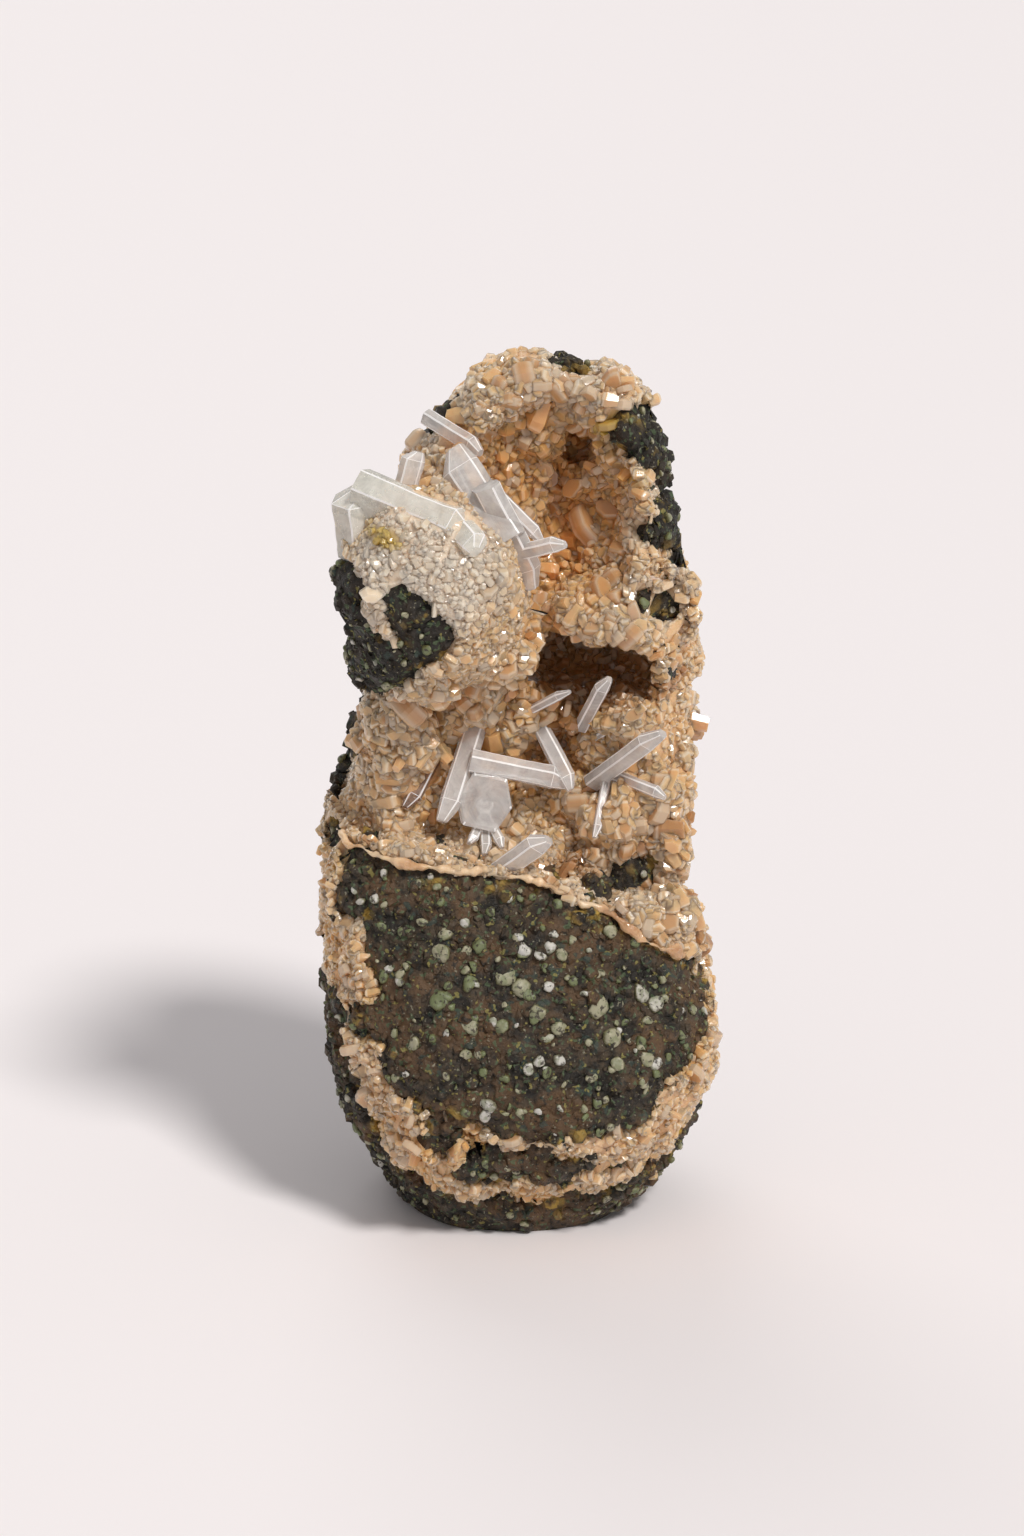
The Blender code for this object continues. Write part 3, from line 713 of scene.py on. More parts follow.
class Recipe:
    """A material's node tree, built step by step. Lengths are in millimetres."""

    def __init__(self, name: str) -> None:
        """Starts a Principled material that reads object coordinates."""
        self.material = bpy.data.materials.new(name)
        self.material.use_nodes = True
        self.tree = self.material.node_tree
        self.shader = self.tree.nodes["Principled BSDF"]
        place = self.tree.nodes.new("ShaderNodeTexCoord").outputs["Object"]
        mapping = self.tree.nodes.new("ShaderNodeMapping")
        mapping.inputs["Scale"].default_value = (1 / MM,) * 3
        self.tree.links.new(place, mapping.inputs["Vector"])
        self.place = mapping.outputs["Vector"]

    def put(self, node: bpy.types.Node, key: str | int, value: Socket | float | Triple) -> None:
        """Links a socket to an input, or sets the input to a value."""
        if isinstance(value, bpy.types.NodeSocket):
            self.tree.links.new(value, node.inputs[key])
        else:
            node.inputs[key].default_value = value

    def set(self, key: str, value: Socket | float | Triple) -> None:
        """Sets or links one of the shader's own inputs."""
        if isinstance(value, tuple) and len(value) == 3 and "Radius" not in key:
            value = (*value, 1.0)
        self.put(self.shader, key, value)

    def noise(self, size: float, detail: float = 2.0, rough: float = 0.5, warp: float = 0.0) -> Socket:
        """Returns noise whose largest forms have the given size."""
        node = self.tree.nodes.new("ShaderNodeTexNoise")
        self.put(node, "Vector", self.place)
        self.put(node, "Scale", 1.0 / size)
        self.put(node, "Detail", detail)
        self.put(node, "Roughness", rough)
        self.put(node, "Distortion", warp)
        return node.outputs["Fac"]

    def value(self, name: str) -> Socket:
        """Returns a value that the mesh's corners carry."""
        node = self.tree.nodes.new("ShaderNodeAttribute")
        node.attribute_name = name
        return node.outputs["Fac"]

    def math(self, operation: str, a: Socket | float, b: Socket | float = 0.0) -> Socket:
        """Returns the result of one sum."""
        node = self.tree.nodes.new("ShaderNodeMath")
        node.operation = operation
        self.put(node, 0, a)
        self.put(node, 1, b)
        return node.outputs[0]

    def between(
        self, value: Socket, low: float, high: float, to_low: float = 0.0, to_high: float = 1.0
    ) -> Socket:
        """Returns the value mapped smoothly from one range to another."""
        node = self.tree.nodes.new("ShaderNodeMapRange")
        node.interpolation_type = "SMOOTHSTEP"
        for key, number in (("From Min", low), ("From Max", high), ("To Min", to_low), ("To Max", to_high)):
            self.put(node, key, number)
        self.put(node, "Value", value)
        return node.outputs["Result"]

    def mix(self, share: Socket | float, a: Socket | Colour, b: Socket | Colour) -> Socket:
        """Returns two colours mixed."""
        node = self.tree.nodes.new("ShaderNodeMix")
        node.data_type = "RGBA"
        self.put(node, 0, share)
        for key, colour in ((6, a), (7, b)):
            self.put(node, key, (*colour, 1.0) if isinstance(colour, tuple) else colour)
        return node.outputs[2]

    def bump(self, height: Socket, depth: float, under: Socket | None = None) -> Socket:
        """Returns a normal whose relief has the given depth in millimetres."""
        node = self.tree.nodes.new("ShaderNodeBump")
        self.put(node, "Distance", depth * MM)
        self.put(node, "Height", height)
        if under is not None:
            self.put(node, "Normal", under)
        return node.outputs["Normal"]


@dataclass(frozen=True)
class BasaltFinish:
    """Dark, fine-grained rock with rusty stains and with specks of green and yellow."""

    charcoal: Colour = (0.016, 0.013, 0.009)
    brown: Colour = (0.072, 0.050, 0.029)
    rust: Colour = (0.125, 0.068, 0.030)
    green: Colour = (0.085, 0.125, 0.060)
    blue_green: Colour = (0.040, 0.062, 0.050)
    yellow: Colour = (0.30, 0.26, 0.08)
    cream: Colour = (0.30, 0.28, 0.20)
    ochre: Colour = (0.50, 0.32, 0.06)

    def material(self) -> bpy.types.Material:
        """Layers the ground, the rust, the specks and the ochre at the crust's edge.

        Returns:
            The material.
        """
        r = Recipe("basalt")
        ground = r.mix(r.between(r.noise(2.4, 4.0, 0.66), 0.42, 0.60), self.charcoal, self.brown)
        ground = r.mix(r.between(r.noise(6.0, 3.0, 0.6), 0.45, 0.62, 0.0, 0.85), ground, self.rust)
        ground = r.mix(r.between(r.noise(0.9, 3.0, 0.6), 0.44, 0.34, 0.0, 0.85), ground, self.charcoal)
        ground = r.mix(r.math("MULTIPLY", r.value("dark"), 0.85), ground, self.charcoal)
        for size, low, colour in (
            (0.9, 0.60, self.green),
            (1.6, 0.61, self.blue_green),
            (0.8, 0.64, self.yellow),
            (0.5, 0.66, self.cream),
        ):
            speck = r.between(r.noise(size, 1.5, 0.6), low, low + 0.06, 0.0, 0.75)
            ground = r.mix(speck, ground, colour)
        edge = r.math("MULTIPLY", r.value("edge"), r.between(r.noise(2.6, 4.0), 0.53, 0.66, 0.0, 0.9))
        ground = r.mix(edge, ground, self.ochre)
        r.set("Base Color", ground)
        r.set("Roughness", r.between(r.noise(0.8, 2.0), 0.3, 0.7, 0.40, 0.80))
        r.set("Specular IOR Level", 0.45)
        coarse = r.bump(r.noise(1.3, 5.0, 0.7), 0.55)
        r.set("Normal", r.bump(r.noise(0.35, 3.0, 0.6), 0.18, coarse))
        return r.material


@dataclass(frozen=True)
class FillingFinish:
    """The minerals that fill the rock's gas bubbles: cream, green and white, with a darker ring."""

    cream: Colour = (0.36, 0.34, 0.23)
    green: Colour = (0.160, 0.185, 0.085)
    white: Colour = (0.56, 0.54, 0.49)
    ring: Colour = (0.13, 0.12, 0.045)
    rock: Colour = (0.045, 0.035, 0.024)

    def material(self) -> bpy.types.Material:
        """Picks a tone by each filling's own value, and mottles it.

        Returns:
            The material.
        """
        r = Recipe("bubble_filling")
        tone = r.mix(r.between(r.value("tint"), 0.18, 0.34), self.green, self.cream)
        tone = r.mix(r.between(r.value("tint"), 0.74, 0.84), tone, self.white)
        tone = r.mix(r.between(r.noise(0.9, 3.0), 0.46, 0.60, 0.0, 0.6), tone, self.green)
        tone = r.mix(r.between(r.value("edge"), 0.35, 1.0, 0.0, 0.85), tone, self.ring)
        tone = r.mix(r.between(r.noise(0.6, 3.0, 0.6), 0.54, 0.62, 0.0, 0.9), tone, self.rock)
        r.set("Base Color", tone)
        r.set("Roughness", 0.45)
        r.set("Subsurface Weight", 0.35)
        r.set("Subsurface Radius", (0.5, 0.5, 0.4))
        r.set("Subsurface Scale", 1.0 * MM)
        r.set("Normal", r.bump(r.noise(0.5, 3.0, 0.6), 0.12))
        return r.material


@dataclass(frozen=True)
class HeulanditeFinish:
    """Translucent peach-tan crystal: paler at the rims, orange-brown in the hollows partly by its own colour
    and partly as painted shade, with brown painted shade in the gaps and the cave and white painted
    highlights on sharp edges.
    """

    name: str
    # deep is the hollows' tone: partly the crystal's own deeper colour, partly painted shade.
    deep: Colour = (0.76, 0.375, 0.130)
    middle: Colour = (0.78, 0.445, 0.195)
    rim: Colour = (0.78, 0.475, 0.245)
    # white: the pale boss and thin crusts, and also the painted highlight on sharp edges.
    white: Colour = (0.95, 0.82, 0.66)
    ochre: Colour = (0.60, 0.38, 0.05)
    # brown: painted shade in the lower vug's gaps and inside the cave.
    brown: Colour = (0.34, 0.165, 0.065)
    scatter: float = 0.75
    clear: float = 0.0
    rough: tuple[float, float] = (0.22, 0.42)
    relief: float = 0.35

    def material(self) -> bpy.types.Material:
        """Mixes the tones by the values that the crystals carry, and lets light into them. The hollows' tone
        is partly painted shade, brown is painted shade in the gaps and the cave, and white on sharp edges is
        a painted highlight.

        Returns:
            The material.
        """
        r = Recipe(self.name)
        # The depth value tones the hollows: partly the crystal's own colour, partly painted shade.
        tone = r.mix(r.between(r.value("depth"), 0.0, 0.45), self.rim, self.middle)
        tone = r.mix(r.between(r.value("depth"), 0.45, 1.0), tone, self.deep)
        tone = r.mix(r.between(r.noise(6.0, 3.0), 0.40, 0.64, 0.0, 0.35), tone, self.deep)
        tone = r.mix(r.math("MULTIPLY", r.value("pale"), 0.72), tone, self.white)
        # lit: less painted highlight and paleness deep in the hollows, where shade falls.
        lit = r.between(r.value("depth"), 0.3, 1.0, 1.0, 0.2)
        paler = r.math("MULTIPLY", lit, r.between(r.value("tint"), 0.5, 1.0, 0.0, 0.2))
        tone = r.mix(paler, tone, self.rim)
        # Painted shade: brown in the lower vug's gaps and inside the cave.
        tone = r.mix(r.value("shade"), tone, self.brown)
        # Painted highlight: white along the crystals' sharp edges.
        painted_edge_highlight = r.math("MULTIPLY", lit, r.between(r.value("edge"), 0.6, 1.0, 0.0, 0.5))
        tone = r.mix(painted_edge_highlight, tone, self.white)
        tone = r.mix(r.math("MULTIPLY", r.value("stain"), 0.85), tone, self.ochre)
        r.set("Base Color", tone)
        r.set("Roughness", r.between(r.noise(0.9, 2.0), 0.35, 0.65, *self.rough))
        r.set("IOR", 1.50)
        r.set("Subsurface Weight", self.scatter)
        r.set("Subsurface Radius", (1.0, 0.95, 0.9))
        r.set("Subsurface Scale", 1.5 * MM)
        r.set("Transmission Weight", self.clear)
        r.set("Coat Weight", 0.4)
        r.set("Coat Roughness", 0.05)
        r.set("Normal", r.bump(r.noise(0.9, 3.0, 0.65), self.relief))
        return r.material


@dataclass(frozen=True)
class CalciteFinish:
    """Clear crystal with milky zones, striations along each blade, and a white painted highlight on the
    narrow bevel faces.
    """

    name: str
    tint: Colour = (0.985, 0.955, 0.925)
    milk: float = 0.18
    clear: float = 0.70
    rough: tuple[float, float] = (0.04, 0.18)
    # rim: the whiter tone of the bevel faces, a painted highlight.
    rim: Colour = (0.99, 0.98, 0.97)

    def material(self) -> bpy.types.Material:
        """Makes the body clear, less so in milky zones, and rougher in worn ones; the rim faces are whiter
        and less clear, as a painted highlight.

        Returns:
            The material.
        """
        r = Recipe(self.name)
        # Painted highlight: the rim faces are whiter and less clear.
        rim = r.value("rim")
        r.set("Base Color", r.mix(rim, self.tint, self.rim))
        milky = r.between(r.noise(3.2, 5.0, 0.7, 0.8), 0.30, 0.70, self.clear, self.clear - self.milk)
        r.set("Transmission Weight", r.math("MULTIPLY", milky, r.between(rim, 0.0, 1.0, 1.0, 0.25)))
        r.set("Roughness", r.between(r.noise(1.1, 3.0), 0.38, 0.66, *self.rough))
        r.set("IOR", 1.40)
        chipped = r.bump(r.noise(0.7, 3.0, 0.6), 0.04)
        r.set("Normal", r.bump(self.growth_lines(r), 0.03, chipped))
        return r.material

    def growth_lines(self, r: Recipe) -> Socket:
        """Growth lines along the blade, from noise stretched along the piece's own map.

        Args:
            r: The material being made.

        Returns:
            The lines' height.
        """
        along = r.tree.nodes.new("ShaderNodeUVMap")
        along.uv_map = "blade"
        stretched = r.tree.nodes.new("ShaderNodeMapping")
        stretched.inputs["Scale"].default_value = (9.0, 0.5, 1.0)
        r.tree.links.new(along.outputs["UV"], stretched.inputs["Vector"])
        node = r.tree.nodes.new("ShaderNodeTexNoise")
        r.put(node, "Vector", stretched.outputs["Vector"])
        r.put(node, "Scale", 1.0)
        r.put(node, "Detail", 3.0)
        return node.outputs["Fac"]


@dataclass(frozen=True)
class Template:
    """One small body's corners and faces, with the share of each corner that lies on a sharp edge."""

    points: Array
    corners: Array
    starts: Array
    edge: Array

    @staticmethod
    def from_faces(points: Array, faces: list[list[int]], edge: Array) -> "Template":
        """Returns a template from a list of faces."""
        starts = starts_of([len(face) for face in faces])
        return Template(np.array(points), np.concatenate(faces), starts, np.array(edge))


def turned(outline: list[tuple[float, float]], levels: list[tuple[float, float, float]]) -> Template:
    """An outline repeated at several levels and closed by a fan at each end.

    A corner is the outline's corner times the level's size, at the level's height.

    Args:
        outline: Pairs of x and y, anticlockwise.
        levels: Height, size and share of sharp edge of each level, upwards.

    Returns:
        The template.
    """
    around = len(outline)
    points = [(x * size, y * size, height) for height, size, _ in levels for x, y in outline]
    middle = np.mean(outline, axis=0)
    points += [(*middle, levels[0][0]), (*middle, levels[-1][0])]
    edge = [share for _, _, share in levels for _ in outline] + [0.0, 0.0]
    top = around * (len(levels) - 1)
    faces = []
    for i in range(around):
        right = (i + 1) % around
        faces.append([len(points) - 2, right, i])
        faces.append([len(points) - 1, top + i, top + right])
        for low in range(0, top, around):
            faces.append([low + i, low + right, low + around + right, low + around + i])
    return Template.from_faces(points, faces, edge)


def tablet() -> Template:
    """Returns a flat crystal: a coffin-shaped outline with rounded edges."""
    outline = [(0.52, -0.10), (0.46, 0.18), (0.16, 0.42), (-0.20, 0.46), (-0.52, 0.26), (-0.52, -0.26),
               (-0.20, -0.46), (0.22, -0.40)]
    return turned(outline, [(-0.5, 0.88, 0.8), (-0.3, 1.0, 1.0), (0.3, 1.0, 1.0), (0.5, 0.88, 0.8)])


def large_tablet() -> Template:
    """Returns a flat crystal with a finer outline, for the few large ones at the rims."""
    outline = [(0.56, 0.0), (0.50, 0.10), (0.16, 0.42), (0.04, 0.46), (-0.34, 0.36), (-0.44, 0.28),
               (-0.56, 0.06), (-0.54, -0.10), (-0.30, -0.42), (-0.18, -0.45), (0.36, -0.30), (0.46, -0.20)]
    levels = [(-0.5, 0.80, 0.7), (-0.38, 0.93, 1.0), (-0.1, 1.0, 0.6), (0.1, 1.0, 0.6), (0.38, 0.93, 1.0),
              (0.5, 0.80, 0.7)]
    return turned(outline, levels)


def prism() -> Template:
    """Returns a blunt crystal: six sides, a bevel and a sloping flat top whose edge carries a painted
    highlight.
    """
    outline = [(0.5, 0.06), (0.22, 0.44), (-0.26, 0.42), (-0.5, -0.04), (-0.24, -0.43), (0.28, -0.40)]
    body = turned(outline, [(-0.5, 0.70, 0.0), (0.16, 1.0, 0.2), (0.38, 0.94, 1.0), (0.5, 0.68, 0.7)])
    points = body.points.copy()
    points[:, 2] += 0.16 * points[:, 0] * (points[:, 2] > 0.3)
    return Template(points[:, [2, 0, 1]], body.corners, body.starts, body.edge)


def chip() -> Template:
    """Returns a blunt chip of rock with five sides, standing along its first axis."""
    outline = [(0.48, 0.10), (0.06, 0.50), (-0.46, 0.22), (-0.36, -0.40), (0.26, -0.42)]
    body = turned(outline, [(-0.5, 0.8, 0.0), (0.1, 1.0, 0.0), (0.5, 0.55, 0.0)])
    return Template(body.points[:, [2, 0, 1]], body.corners, body.starts, body.edge)


def disc_filling() -> Template:
    """Returns a low round dome with twelve sides, whose rim is the ring of a filled bubble."""
    turn = np.arange(12) / 12 * 2 * np.pi
    outline = list(zip(0.5 * np.cos(turn), 0.5 * np.sin(turn)))
    return turned(outline, [(-0.5, 0.8, 1.0), (0.0, 1.0, 1.0), (0.30, 0.86, 0.5), (0.45, 0.5, 0.0)])


def places_on(grid: Array, spacing: float, random: np.random.Generator) -> Array:
    """Random points on the faces of a grid, of which each cell of space keeps one.

    Args:
        grid: Points as rows by columns by three.
        spacing: Size of a cell.
        random: The source of random numbers.

    Returns:
        Points, one per row, in a random order.
    """
    beside = np.roll(grid, -1, axis=1)
    quads = np.stack([grid[:-1], beside[:-1], grid[1:], beside[1:]], axis=2).reshape(-1, 4, 3)
    area = np.linalg.norm(np.cross(quads[:, 1] - quads[:, 0], quads[:, 2] - quads[:, 0]), axis=1)
    count = int(6.0 * area.sum() / spacing**2)
    q = quads[random.choice(len(quads), count, p=area / area.sum())]
    u, v = random.random((2, count, 1))
    points = (q[:, 0] * (1 - u) + q[:, 1] * u) * (1 - v) + (q[:, 2] * (1 - u) + q[:, 3] * u) * v
    cell = np.floor(points / spacing + 0.5).astype(np.int64)
    points = points[np.unique(cell, axis=0, return_index=True)[1]]
    return points[random.permutation(len(points))]


def front_points(grid: Array, seen: Array) -> Array:
    """Returns the grid's points nearest to places seen from the front, as pairs of across and height."""
    turned_here = np.cross(np.roll(grid, -1, axis=1)[:-1] - grid[:-1], grid[1:] - grid[:-1])
    front = grid[:-1][turned_here[..., 1] < 0.0]
    near = ((front[None, :, ::2] - seen[:, None]) ** 2).sum(axis=-1)
    return front[(near + 0.002 * (front[:, 1] + 30.0)).argmin(axis=1)]


def copies(
    template: Template, places: Array, axes: Array, sizes: Array, values: dict[str, Array]
) -> MeshParts:
    """Copies a template to many places, each copy along its own axes and with its own three sizes.

    A corner is its place, plus the sum over the three axes of the template's corner times the size.

    Args:
        template: The body that is copied.
        places: Middles, one per row.
        axes: Three unit vectors for each copy, as copies by three by three.
        sizes: Three sizes for each copy.
        values: Values that all the corners of a copy carry.

    Returns:
        One mesh of all the copies.
    """
    count, each = len(places), len(template.points)
    points = places[:, None] + (template.points[None] * sizes[:, None]) @ axes
    number = np.arange(count)[:, None]
    faces = (template.corners[None] + number * each).ravel()
    starts = (template.starts[None] + number * len(template.corners)).ravel()
    spread = {key: np.repeat(value, each) for key, value in values.items()}
    spread["edge"] = np.tile(template.edge, count)
    return MeshParts(points.reshape(-1, 3), faces, starts, spread)


def axes_about(out: Array, tilt: float, random: np.random.Generator) -> Array:
    """Three axes at right angles for each copy: outwards with a lean, and two across by chance.

    Args:
        out: Unit normals, one per row.
        tilt: How much the first axis leans.
        random: The source of random numbers.

    Returns:
        The axes, as copies by three by three.
    """
    first = unit(out + random.normal(0.0, tilt, out.shape))
    second = unit(np.cross(first, random.normal(0.0, 1.0, out.shape)))
    return np.stack([first, second, np.cross(first, second)], axis=1)


@dataclass(frozen=True)
class Basalt:
    """The rock: the lump's own surface, the knobs that roughen it and the fillings of its bubbles."""

    below_crust: float = 1.0
    bumps: Waves = ((0.30, 3.1, 11), (0.22, 1.7, 12), (0.12, 1.0, 13))
    knob_spacing: float = 1.15
    knob_low: Triple = (0.8, 0.8, 0.8)
    knob_high: Triple = (1.3, 1.9, 1.9)
    knob_sunk: float = 0.30
    filling_spacing: float = 2.6
    large_fillings: tuple[tuple[float, float, float, float], ...] = (
        # across, height, width and tint
        (-9.1, 39.9, 1.7, 0.5), (-7.0, 41.0, 1.5, 0.9), (-9.4, 37.8, 2.3, 0.45), (-5.2, 38.4, 2.0, 0.2),
        (-0.3, 39.5, 1.7, 0.9), (0.6, 38.2, 1.4, 0.9), (2.0, 37.6, 1.8, 0.9), (3.4, 38.8, 1.5, 0.9),
        (4.0, 39.9, 1.3, 0.9), (-1.6, 35.4, 2.6, 0.3), (-0.1, 34.6, 2.4, 0.3), (8.8, 31.6, 2.9, 0.55),
        (14.4, 32.5, 2.2, 0.8), (16.2, 31.0, 2.4, 0.8), (11.0, 28.0, 2.5, 0.55), (2.2, 25.5, 1.6, 0.9),
        (4.6, 25.9, 1.8, 0.9), (0.6, 25.2, 1.5, 0.9), (-3.7, 20.4, 1.9, 0.9), (-4.4, 19.2, 1.5, 0.9),
        (11.8, 25.5, 1.9, 0.4), (14.9, 25.3, 2.0, 0.6), (16.3, 24.6, 1.6, 0.9), (2.2, 32.0, 2.0, 0.3),
        (10.7, 40.6, 1.8, 0.7), (-6.1, 34.7, 2.2, 0.2), (-9.7, 32.8, 2.4, 0.15), (-13.1, 27.5, 1.6, 0.6),
        (-6.1, 29.8, 2.1, 0.35), (4.6, 29.6, 2.2, 0.3), (8.2, 23.9, 1.9, 0.5), (-2.5, 30.4, 1.8, 0.25),
    )
    seed: int = 3

    def relief(self, points: Array, bare: Array) -> Array:
        """Returns low bumps of three sizes, and fine-grained humps."""
        return (waved(0.0, points, self.bumps) + 0.25 * clumps(points, 1.9, 14) - 0.55) * bare

    def dark(self, lump: Lump, points: Array) -> Array:
        """How dark the rock is: 1 on the trunk and 0 on the foot, with a broad and uneven border at the back.

        Args:
            lump: The lump.
            points: Points, one per row.

        Returns:
            Values from 0 to 1.
        """
        blend = ease((points[:, 1] + 6.0) / 12.0)
        height = points[:, 2] - lump.ridge_height(points) + 26.0 * blend * noise(points, 11.0, 19)
        return ease(height / (4.0 + 36.0 * blend) + 0.3 * blend)

    def build(self, lump: Lump, grid: Array, druse: Array) -> None:
        """Settles the rock's own surface, adds its relief, and then its knobs and fillings.

        Args:
            lump: The lump.
            grid: The settled grid of the lump.
            druse: The crust's own surface, under which the rock stays.
        """
        grid = within(settle(lump.rock_under_crust, grid, 5, 0.05), grid)
        points, above = grid.reshape(-1, 3), druse.reshape(-1, 3)
        normals = normals_of(lump.rock_under_crust, points)
        cover = lump.cover(points)
        bare = ease(-0.5 * cover / lump.crust_edge + 0.5)
        points = points + normals * (self.relief(points, bare) * ease(points[:, 2] / 2.0))[:, None]
        hidden = ease(2.0 * lump.crusted(above) - 1.0)[:, None]
        under = above - self.below_crust * normals_of(lump.crust_outside, above)
        points = points + hidden * (under - points)
        grid = points.reshape(grid.shape)
        parts = skin_mesh(grid, 0.0)
        parts.values["edge"] = np.append(ease(1.0 - np.abs(cover) / 1.8), (0.0, 0.0))
        parts.values["dark"] = self.dark(lump, parts.points)
        finish = BasaltFinish().material()
        obj = parts.object("basalt", finish, Slot.BASALT, True)
        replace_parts(obj, "basalt_matrix")
        self.knobs(lump, grid, finish)
        self.fillings(lump, grid)

    def knobs(self, lump: Lump, grid: Array, finish: bpy.types.Material) -> None:
        """Sets blunt chips of rock into the bare surface.

        Args:
            lump: The lump.
            grid: The rock's own surface.
            finish: The rock's material.
        """
        random = np.random.default_rng(self.seed)
        points = places_on(grid, self.knob_spacing, random)
        cover = lump.cover(points)
        ledge = points[:, 2] > lump.ridge_height(points) - 1.0
        keep_these = (cover < np.where(ledge, -0.5, 0.2)) & (points[:, 2] > 0.9)
        points, cover = points[keep_these], cover[keep_these]
        points = points - self.knob_sunk * normals_of(lump.rock, points)
        sizes = random.uniform(self.knob_low, self.knob_high, (len(points), 3))
        sizes *= np.exp(random.normal(-0.15, 0.35, (len(points), 1))).clip(0.4, 1.8)
        axes = axes_about(normals_of(lump.rock, points), 0.5, random)
        edge = ease(1.0 - np.abs(cover) / 1.8)
        high = points[:, 2] > lump.ridge_height(points)
        for part, here in (("foot", ~high), ("trunk", high)):
            parts = copies(chip(), points[here], axes[here], sizes[here], {})
            parts.points[:, 2] = np.maximum(parts.points[:, 2], 0.0)
            parts.values["edge"] = np.repeat(edge[here], len(chip().points))
            parts.values["dark"] = self.dark(lump, parts.points)
            obj = parts.object(f"basalt_knobs_{part}", finish, Slot.BASALT, False)
            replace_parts(obj, "basalt_matrix")

    def fillings(self, lump: Lump, grid: Array) -> None:
        """Sets the fillings of the gas bubbles: the large ones by name, and small ones by chance.

        Args:
            lump: The lump.
            grid: The rock's own surface.
        """
        random = np.random.default_rng(self.seed + 1)
        large = np.array(self.large_fillings)
        small = places_on(grid, self.filling_spacing, random)
        small = small[(lump.cover(small) < -0.5) & (small[:, 2] > 1.5)]
        small = small[random.random(len(small)) < np.where(small[:, 1] < 2.0, 0.75, 0.30)]
        points = np.vstack([front_points(grid, large[:, :2]), small])
        width = np.concatenate([large[:, 2], random.uniform(0.5, 1.35, len(small))])
        tint = np.concatenate([large[:, 3], random.random(len(small)) ** 1.3])
        sizes = np.stack([width * random.uniform(0.7, 1.3, len(width)), width, 0.45 + 0.28 * width], axis=1)
        axes = axes_about(normals_of(lump.rock, points), 0.12, random)[:, [1, 2, 0]]
        parts = copies(disc_filling(), points + 0.15 * axes[:, 2], axes, sizes, {"tint": tint})
        for axis in range(3):
            parts.points[:, axis] += 0.30 * noise(parts.points, 0.8, 17 + axis)
        obj = parts.object("bubble_fillings", FillingFinish().material(), Slot.BASALT, True)
        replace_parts(obj, "basalt_matrix")


@dataclass(frozen=True)
class Tones:
    """The values that heulandite's finish reads, worked out for any points."""

    lump: Lump
    deepest: float = 10.0
    foot_brown: float = 0.15
    usual_gap: float = 0.28
    # How much the gaps between the clumps deepen the hollow tone, as painted shade; below, the brown painted
    # shade in the lower vug's gaps and in the cave.
    gap_depth_shade: float = 1.3
    least_gap: float = 0.35
    gap_shade: float = 0.80
    cave_shade: float = 0.8
    white_boss: Patch = Patch(-11.5, 85.5, 9.0, 8.5)
    stains: tuple[Patch, ...] = (
        Patch(-15.8, 88.7, 2.0, 1.1, 10.0),
        Patch(10.2, 98.6, 1.2, 1.8, -20.0),
        Patch(13.6, 92.6, 0.7, 1.0),
        Patch(-20.6, 44.6, 1.6, 0.9),
    )

    def at(self, points: Array) -> dict[str, Array]:
        """Depth in the hollow, partly own colour and partly painted shade, paleness on the boss and thin
        crusts, ochre stains, and painted shade in the gaps and the cave.

        Args:
            points: Points, one per row.

        Returns:
            Values from 0 to 1 by name.
        """
        gap = 1.0 - clumps(points, self.lump.clump_size, self.lump.clump_seed)
        foot = ease((self.lump.ridge_height(points) - points[:, 2]) / 2.0)
        depth = ease(self.lump.hollow_depth(points) / self.deepest) + self.foot_brown * foot
        # The gaps between the clumps take on the hollow tone: painted shade.
        depth = np.clip(depth + self.gap_depth_shade * (gap - self.usual_gap), 0.0, 1.0)
        boss = ease(0.5 - self.white_boss.distance(points) / 6.0) * ease((-9.0 - points[:, 1]) / 6.0)
        thin = ease((2.2 - self.lump.cover(points)) / 2.2) * (0.6 - 0.4 * foot)
        stain = np.min([patch.distance(points) for patch in self.stains], axis=0)
        stain = stain + 0.6 * noise(points, 1.2, 21)
        # Painted shade: brown in the deeper gaps of the lower vug, and inside the cave.
        lower = ease((self.lump.between_vugs - points[:, 2]) / 5.0) * (1.0 - foot)
        gap_painted_shade = self.gap_shade * lower * ease((gap - self.least_gap) / 0.30)
        inside = ease(0.6 - self.lump.cave.distance(points) / 3.0)
        return {
            "depth": depth,
            "pale": np.maximum(boss, thin * (1 - depth)),
            "stain": ease(0.5 - stain),
            "shade": np.maximum(gap_painted_shade, self.cave_shade * inside),
        }

    def dress(self, parts: MeshParts, seed: int) -> None:
        """Gives a skin all the values that the finish reads, with a mottled tint."""
        parts.values.update(self.at(parts.points))
        parts.values["tint"] = np.clip(0.5 + 0.5 * noise(parts.points, 1.3, seed), 0.0, 1.0)
        parts.values["edge"] = np.zeros(len(parts.points))


